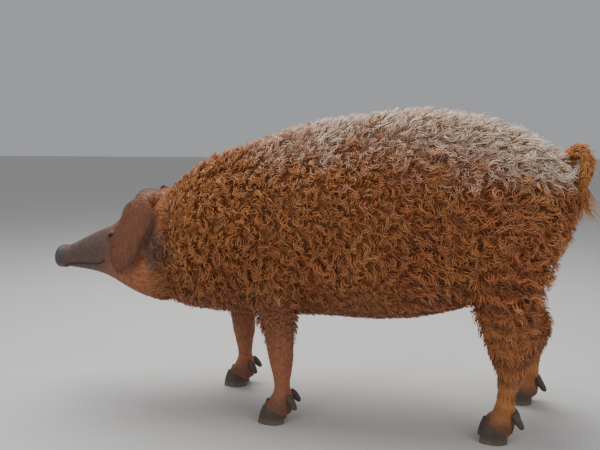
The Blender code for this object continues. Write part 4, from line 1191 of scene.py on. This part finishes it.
class PIG_OT_ears(bpy.types.Operator):
    """Makes the two hanging ears with their hair"""

    bl_idname = "pig.ears"
    bl_label = "Ears"

    def execute(self, context):
        colours = context.scene.pig_colours
        material = ear_finish(colours)
        draw = np.random.default_rng(21)
        tufts = []
        for side, word in SIDES:
            spine, along, hollow, (outer, inner) = ear_surface(side)
            ear = mesh_object("flap_" + word, tube(np.concatenate((outer, inner[:, ::-1]), axis=1)))
            edge = np.abs(np.linspace(-1, 1, EAR_POINTS)) ** 6
            ring = np.concatenate((edge, edge[::-1]))
            keep(ear, rim=np.concatenate((np.tile(ring, len(spine)), (0, 1))))
            dress(ear, material, "ear", "ear_" + word)
            out = unit(np.cross(np.gradient(outer, axis=0), np.gradient(outer, axis=1)))
            out *= np.sign((out * -hollow[:, None]).sum(axis=-1, keepdims=True))
            rows = draw.integers(6, len(spine) - 2, EAR_LOCKS)
            spots = draw.integers(0, EAR_POINTS, EAR_LOCKS)
            rows = np.append(rows, draw.integers(10, len(spine) - 1, RIM_LOCKS))
            spots = np.append(spots, draw.choice((0, EAR_POINTS - 1), RIM_LOCKS))
            roots, facing = outer[rows, spots], out[rows, spots]
            edge = np.abs(spots / (EAR_POINTS - 1) * 2 - 1)
            on_rim = edge > 0.99
            lie = along[rows] + unit(roots - spine[rows]) * on_rim[:, None] * 0.5
            tufts.append((roots + draw.normal(0, 0.0012, roots.shape), facing, unit(lie),
                          0.010 + 0.004 * on_rim + 0.004 * fade(50, 70, rows), edge**3))
        roots, facing, lie, long, edge = map(np.concatenate, zip(*tufts))
        lie = unit(laid(lie, facing))
        locks = flat_locks(draw, roots, facing, lie, length=long, lift=0.0016, width=0.0006)
        x, y, z = roots.T
        unwrap = columns(0.02 + 0.46 * np.clip((x + 0.70) / 0.16, 0, 1) + 0.5 * (y > 0),
                         0.02 + 0.96 * np.clip((0.60 - z) / 0.26, 0, 1))
        warm = columns(0, 0.35 * (1 - edge), 0.30 + 0.45 * edge, 0.40 * (1 - edge))
        hair_object("ear_hair", locks, unwrap, draw.uniform(0.75, 1.3, len(roots)),
                    hair_finish("short_hair", colours), "ear", warm)
        return {"FINISHED"}


class PIG_OT_eyes(bpy.types.Operator):
    """Makes the eyeballs, lids and lashes"""

    bl_idname = "pig.eyes"
    bl_label = "Eyes"

    def execute(self, context):
        material = eye_finish()
        draw = np.random.default_rng(31)
        lids, tufts = [], []
        for side, word in SIDES:
            axes, place = eye_axes(side), mirrored(EYE_PLACE, side)
            grid = ellipsoid(place, (EYE_RADIUS,) * 3, axes, 40, 56)
            ahead = ((grid - place) @ axes.T / EYE_RADIUS)[..., 2]
            grid = place + (grid - place) * (1 + CORNEA_BULGE * fade(0.80, 1.0, ahead))[..., None]
            shape = tube(grid)
            eye = mesh_object("eyeball_" + word, shape)
            away = np.arccos(np.clip(unit(shape[0] - place) @ axes[2], -1, 1)) / (math.pi / 2)
            keep(eye, iris=away)
            dress(eye, material, "eye", "eye_" + word)
            # The lids are a closed ring: an oval on the eyeball with a rounded section
            a = circle(LID_RING)
            c, s = np.cos(a), np.sin(a)
            u = LID_OPENING[0] * 1.02 * c
            v = LID_OPENING[1] * s * np.where(s > 0, 1.0, 0.85) * (1 - 0.25 * c**2)
            sphere = EYE_RADIUS + 0.0007
            centre = columns(u, v, np.sqrt(np.maximum(sphere**2 - u**2 - v**2, 1e-8)))
            thick = (0.0016 + 0.0010 * np.clip(s, 0, 1))[:, None, None]
            b = circle(12)[None, :, None]
            ring = centre[:, None] + thick * (unit(centre)[:, None] * np.sin(b) * 1.1
                                              + columns(c, s, 0)[:, None] * np.cos(b) * 1.3)
            lids.append(tube(ring @ axes + place, wrap_ends=True))
            angle = draw.uniform(0.25, math.pi - 0.25, LASHES)
            base = columns(LID_OPENING[0] * np.cos(angle), LID_OPENING[1] * 1.2 * np.sin(angle),
                           EYE_RADIUS * 0.98)
            lean = columns(np.cos(angle) * 0.8, 0.35, 1.0)
            tufts.append((base @ axes + place, np.tile(axes[1], (LASHES, 1)), unit(lean @ axes)))
        dress(mesh_object("eyelids", joined(lids)), lid_finish(), "face")
        roots, facing, lie = map(np.concatenate, zip(*tufts))
        locks = flat_locks(draw, roots, facing, lie, length=0.012, lift=0.0010, width=0.0004,
                           steps=5)
        x, y, z = roots.T
        unwrap = columns((x + 0.73) / 0.06, 0.25 + 0.5 * (y > 0) + 6 * (z - EYE_PLACE[2]))
        hair_object("lashes", locks, unwrap, draw.uniform(0.8, 1.3, len(roots)),
                    hair_finish("short_hair", context.scene.pig_colours), "face")
        return {"FINISHED"}


def drawn_in(ring, share):
    """A level ring with its points moved towards their middle, to share of their distance."""
    middle = ring.mean(axis=1, keepdims=True)
    return middle + (ring - middle) * (share, share, 1)


class PIG_OT_hooves(bpy.types.Operator):
    """Makes the cloven hooves and the dewclaws"""

    bl_idname = "pig.hooves"
    bl_label = "Hooves"

    def execute(self, context):
        material = horn_finish(context.scene.pig_colours)
        angles = circle(HOOF_RING)
        slope = HOOF_HEEL_HEIGHT + (HOOF_FRONT_HEIGHT - HOOF_HEEL_HEIGHT) * (1 + np.cos(angles)) / 2
        heights = SOLE_BEVEL + (slope - SOLE_BEVEL) * np.linspace(0, 1, 18)[:, None]
        along, thick = curve_through(DEWCLAW_PROFILE, 5).T[..., None]
        for leg in LEGS:
            for hand in (-1, 1):
                word = leg[0] + ("_outer" if hand == leg[2] else "_inner")
                wall = digit_points(leg, hand, heights, angles)
                sole = drawn_in(wall[:1], 0.965) * (1, 1, 0)
                brim = drawn_in(wall[-1:], 0.90) + (0, 0, 0.0010)
                rings = np.concatenate((sole, wall, brim, drawn_in(brim, 0.40)))
                dress(mesh_object("toe_" + word, tube(rings)), material, "horn", "hoof_" + word)
                _, _, back, middle, _ = leg_rows(leg, 1)[-2]
                root = (back - DEWCLAW_SINK, middle + hand * DEWCLAW_SPREAD, DEWCLAW_HEIGHT)
                lean = unit(mirrored(DEWCLAW_LEAN, hand))
                across = unit(np.cross(lean, (0, 0, 1)))
                ring = columns(np.cos(angles), np.sin(angles)) @ (across, np.cross(lean, across))
                rings = (np.array(root) + lean * DEWCLAW_LENGTH * along)[:, None] \
                    + ring * (DEWCLAW_RADIUS * thick)[..., None]
                dress(mesh_object("small_claw_" + word, tube(rings)), material, "horn",
                      "dewclaw_" + word)
        return {"FINISHED"}


class PIG_OT_tail(bpy.types.Operator):
    """Makes the curled tail with its curls and hanging wisps"""

    bl_idname = "pig.tail"
    bl_label = "Tail"

    def execute(self, context):
        hair = hair_finish("curls", context.scene.pig_colours)
        table = curve_through(TAIL, TAIL_STEPS)
        spine, radii = table[:, :3], table[:, 3]
        along = unit(np.gradient(spine, axis=0))
        side = unit(np.cross(along, (0.3, 1.0, 0.2)))
        over = np.cross(along, side)
        a = circle(TAIL_RING)[None, :, None]
        rings = side[:, None] * np.cos(a) + over[:, None] * np.sin(a)
        core = mesh_object("tail", tube(spine[:, None] + rings * radii[:, None, None]))
        none = np.zeros(len(core.data.vertices))
        mark(core, np.tile(TAIL_SKIN_MARKS, (len(none), 1)))
        keep(core, crease=none, nose=none)
        dress(core, bpy.data.materials["skin"], "coat", "tail_root", "tail_tip")
        draw = np.random.default_rng(41)

        def tail_hair(name, locks, rows, turn):
            unwrap = in_map(rows / len(spine), turn[:, 0] / math.tau)
            hair_object(name, locks, unwrap, draw.uniform(0.8, 1.25, len(rows)), hair, "coat",
                        np.tile(TAIL_HAIR_MARKS, (len(rows), 1)))

        rows = draw.integers(6, len(spine), TAIL_LOCKS)
        turn = draw.uniform(0, math.tau, TAIL_LOCKS)[:, None]
        out = side[rows] * np.cos(turn) + over[rows] * np.sin(turn)
        roots = spine[rows] + out * (radii[rows] * 0.9)[:, None]
        inward = (unit(np.array(TAIL_MIDDLE) - spine[rows]) * out).sum(axis=1)
        sizes = dict(TAIL_CURLS, depth=0.007 + 0.010 * fade(0.2, 0.9, inward))
        locks, _ = curl_locks(roots, out, unit(laid(along[rows], out)), sizes, draw)
        tail_hair("tail_curls", locks, rows, turn)
        turn = draw.uniform(0, math.tau, TAIL_WISPS)[:, None]
        rows = draw.integers(len(spine) - 14, len(spine), TAIL_WISPS)
        out = side[rows] * np.cos(turn) + over[rows] * np.sin(turn)
        lie = unit(np.array((0.20, 0.0, -1.0)) + out * 0.16 + draw.normal(0, 0.08, out.shape))
        locks = flat_locks(draw, spine[rows] + out * 0.002, out, lie, length=0.062, lift=0.004,
                           width=0.0012, steps=12, wave=0.0030)
        tail_hair("tail_wisps", locks, rows, turn)
        return {"FINISHED"}


class PIG_OT_curls(bpy.types.Operator):
    """Covers neck, trunk and upper legs with curls"""

    bl_idname = "pig.curls"
    bl_label = "Curls"

    def execute(self, context):
        coat = context.scene.pig_coat
        hair = hair_finish("curls", context.scene.pig_colours)

        def wanted(places):
            # None low on the legs, in front of the cut behind the head or round the tail's root
            fore = 0.045 * fade(0.02, -0.08, places[:, 0])
            chance = fade(0.15, 0.25, places[:, 2] - fore)
            chance *= fade(0.012, -0.015, head_side(places))
            tail = np.linalg.norm(places - np.array(TAIL[1][:3]), axis=1)
            return chance * fade(0.014, 0.024, tail)

        roots, facing, lie = scatter(coat.curls, CURL_CUBE, 51, wanted, COAT_LIE)
        draw = np.random.default_rng(52)
        x, _, z = roots.T
        up = facing[:, 2]
        # The coat is shallower near the head, under the belly and low on the middle of the trunk
        near_head = fade(0.0, -0.10, head_side(roots))
        under = 0.55 + 0.45 * fade(-0.95, -0.35, up)
        middle = fade(-0.25, -0.05, x) * fade(0.34, 0.20, x)
        under *= 1 - 0.38 * middle * fade(0.43, 0.32, z)
        deep = coat_depth(z, coat.depth) * (0.40 + 0.60 * near_head) * under
        share = deep / coat.depth
        crest = fade(0.55, 0.95, up) * markings(roots)[:, 0]
        bands = leg_bands(roots)
        trunk = np.flatnonzero(z >= LEG_TOP)
        trunk = np.array_split(trunk[np.argsort(x[trunk])], len(COAT_PIECES))
        pieces = [(name, part, trunk_unwrap) for name, part in zip(COAT_PIECES, trunk)]
        pieces.append(("coat_legs", np.flatnonzero(z < LEG_TOP), leg_unwrap))
        for name, part, unwrap in pieces:
            sizes = dict(
                BODY_CURLS, spacing=coat.spacing,
                depth=deep[part] * (0.70 + 0.30 * crest[part] + 0.20 * bands[part]),
                reach=coat.reach * (0.34 + 0.66 * share[part]),
                radius=coat.radius * (0.28 + 0.72 * share[part]),
                width=coat.width * (0.60 + 0.40 * share[part]))
            locks, clump = curl_locks(roots[part], facing[part], lie[part], sizes, draw)
            total = clump.max() + 1
            marks = markings(roots[part] + draw.normal(0, 0.016, (total, 3))[clump])
            tone = draw.uniform(0.86, 1.16, total)[clump]
            tone *= draw.uniform(0.90, 1.10, len(part)) * (1 + BAND_TONE * bands[part])
            # Painted shade: locks darker low on the body, where less light falls from above
            tone *= 1 - 0.15 * fade(0.44, 0.30, z[part])
            hair_object(name, locks, unwrap(roots[part]), tone, hair, "coat", marks)
        return {"FINISHED"}


class PIG_OT_short_hair(bpy.types.Operator):
    """Covers face and lower legs with short hair"""

    bl_idname = "pig.short_hair"
    bl_label = "Short hair"

    def execute(self, context):
        coat = context.scene.pig_coat
        hair = hair_finish("short_hair", context.scene.pig_colours)
        draw = np.random.default_rng(61)

        def on_face(places):
            eye = np.linalg.norm(folded(places) - np.array(EYE_PLACE), axis=1)
            return fade(-0.872, -0.850, places[:, 0]) * (head_side(places) > -0.02) * (eye > 0.0175)

        roots, facing, lie = scatter(FACE_LOCKS, FACE_CUBE, 62, on_face, FACE_LIE)
        back = fade(0.22, 0.0, head_side(roots))
        locks = flat_locks(draw, roots, facing, lie,
                           length=coat.face_length * (0.55 + 0.75 * back),
                           lift=0.0009 + 0.0026 * back, width=0.0006 + 0.0003 * back)
        x, y, z = roots.T
        unwrap = in_map((x + 0.90) / 0.40, share_of_turn(y, z - 0.41))
        hair_object("face_hair", locks, unwrap, draw.uniform(0.75, 1.25, len(roots)), hair, "face")

        def on_legs(places):
            x, _, z = places.T
            return (z - 0.030 * fade(0.02, -0.08, x) < 0.240) * fade(0.030, 0.045, z)

        roots, facing, lie = scatter(LEG_LOCKS, LEG_CUBE, 63, on_legs, LEG_LIE)
        up = fade(0.06, 0.22, roots[:, 2])
        hind = fade(-0.1, 0.1, roots[:, 0])
        locks = flat_locks(draw, roots, facing, lie,
                           length=0.010 + (0.005 + 0.009 * hind) * up,
                           lift=0.0012 + (0.0012 + 0.0034 * hind) * up,
                           width=0.0010 + 0.0007 * hind * up, wave=0.0006 + 0.0014 * hind)
        # The factor 0.84 is painted shade: the lower legs darker than the trunk, in shade under the
        # belly
        tone = 0.84 * draw.uniform(0.78, 1.22, len(roots)) * (1 + BAND_TONE * leg_bands(roots))
        hair_object("leg_hair", locks, leg_unwrap(roots), tone, hair, "shank")
        return {"FINISHED"}


def placed(context, name, data, place, right, up, back):
    """A lamp or camera at a place, looking against back."""
    obj = bpy.data.objects.new(name, data)
    context.scene.collection.objects.link(obj)
    rows = np.column_stack((right, up, back, place)).tolist()
    obj.matrix_world = Matrix([*rows, (0.0, 0.0, 0.0, 1.0)])
    return obj


class PIG_OT_stage(bpy.types.Operator):
    """Sets up the floor, the lights and the camera"""

    bl_idname = "pig.stage"
    bl_label = "Stage"

    def execute(self, context):
        stage = context.scene.pig_stage
        mesh = bpy.data.meshes.new("floor")
        corners = [(FLOOR_HALF * x, FLOOR_HALF * y, 0.0)
                   for x, y in ((-1, -1), (1, -1), (1, 1), (-1, 1))]
        mesh.from_pydata(corners, [], [(0, 1, 2, 3)])
        mesh.materials.append(floor_finish())
        floor = bpy.data.objects.new("floor", mesh)
        context.scene.collection.objects.link(floor)
        world = bpy.data.worlds.new("studio")
        world.use_nodes = True
        sky = world.node_tree.nodes["Background"].inputs
        sky["Color"].default_value = (0.80, 0.82, 0.86, 1)
        sky["Strength"].default_value = 0.45
        context.scene.world = world
        lamps = (("key", (-0.3, 0.6, 2.6), stage.key, 2.4),
                 ("fill", (-1.4, -2.6, 1.6), stage.fill, 1.2),
                 ("side", (2.2, -1.6, 1.8), stage.fill, 1.8))
        for name, place, power, size in lamps:
            lamp = bpy.data.lights.new(name, "AREA")
            lamp.shape = "DISK"
            lamp.energy = power
            lamp.size = size
            back = unit(np.array(place) - np.array((0.0, 0.0, AIM_HEIGHT)))
            right = unit(np.cross((0, 1, 0.001), back))
            placed(context, name, lamp, place, right, np.cross(back, right), back)
        yaw, pitch = stage.camera_yaw, stage.camera_pitch
        forward = np.array((-math.sin(yaw) * math.cos(pitch), math.cos(yaw) * math.cos(pitch),
                            -math.sin(pitch)))
        right = np.array((math.cos(yaw), math.sin(yaw), 0.0))
        camera = bpy.data.cameras.new("camera")
        camera.sensor_width = SENSOR
        camera.lens = stage.lens
        place = np.array(stage.camera_place) + ORIGIN * (1, 1, 0)
        context.scene.camera = placed(context, "camera", camera, place, right,
                                      np.cross(right, forward), -forward)
        return {"FINISHED"}


OPERATORS = (PIG_OT_stage, PIG_OT_skin, PIG_OT_ears, PIG_OT_eyes, PIG_OT_hooves, PIG_OT_tail,
             PIG_OT_curls, PIG_OT_short_hair)
GROUPS = {"pig_colours": PigColours, "pig_coat": PigCoat, "pig_stage": PigStage}


class PIG_PT_pieces(bpy.types.Panel):
    """Lists the pieces of the pig and their sizes and colours"""

    bl_label = "Pig"
    bl_space_type = "VIEW_3D"
    bl_region_type = "UI"
    bl_category = "Pig"

    def draw(self, context):
        for operator in OPERATORS:
            self.layout.operator(operator.bl_idname)
        for name, kind in GROUPS.items():
            for setting in kind.__annotations__:
                self.layout.prop(getattr(context.scene, name), setting)


CLASSES = (*GROUPS.values(), *OPERATORS, PIG_PT_pieces)


def register():
    """Registers the classes and adds the settings to the scene."""
    for item in CLASSES:
        bpy.utils.register_class(item)
    for name, kind in GROUPS.items():
        setattr(bpy.types.Scene, name, bpy.props.PointerProperty(type=kind))


def unregister():
    """Takes the settings and the classes away."""
    for name in GROUPS:
        delattr(bpy.types.Scene, name)
    for item in reversed(CLASSES):
        bpy.utils.unregister_class(item)


def main():
    """Makes every piece in order."""
    register()
    bpy.ops.pig.stage()
    bpy.ops.pig.skin()
    bpy.ops.pig.ears()
    bpy.ops.pig.eyes()
    bpy.ops.pig.hooves()
    bpy.ops.pig.tail()
    bpy.ops.pig.curls()
    bpy.ops.pig.short_hair()


if __name__ == "__main__":
    main()
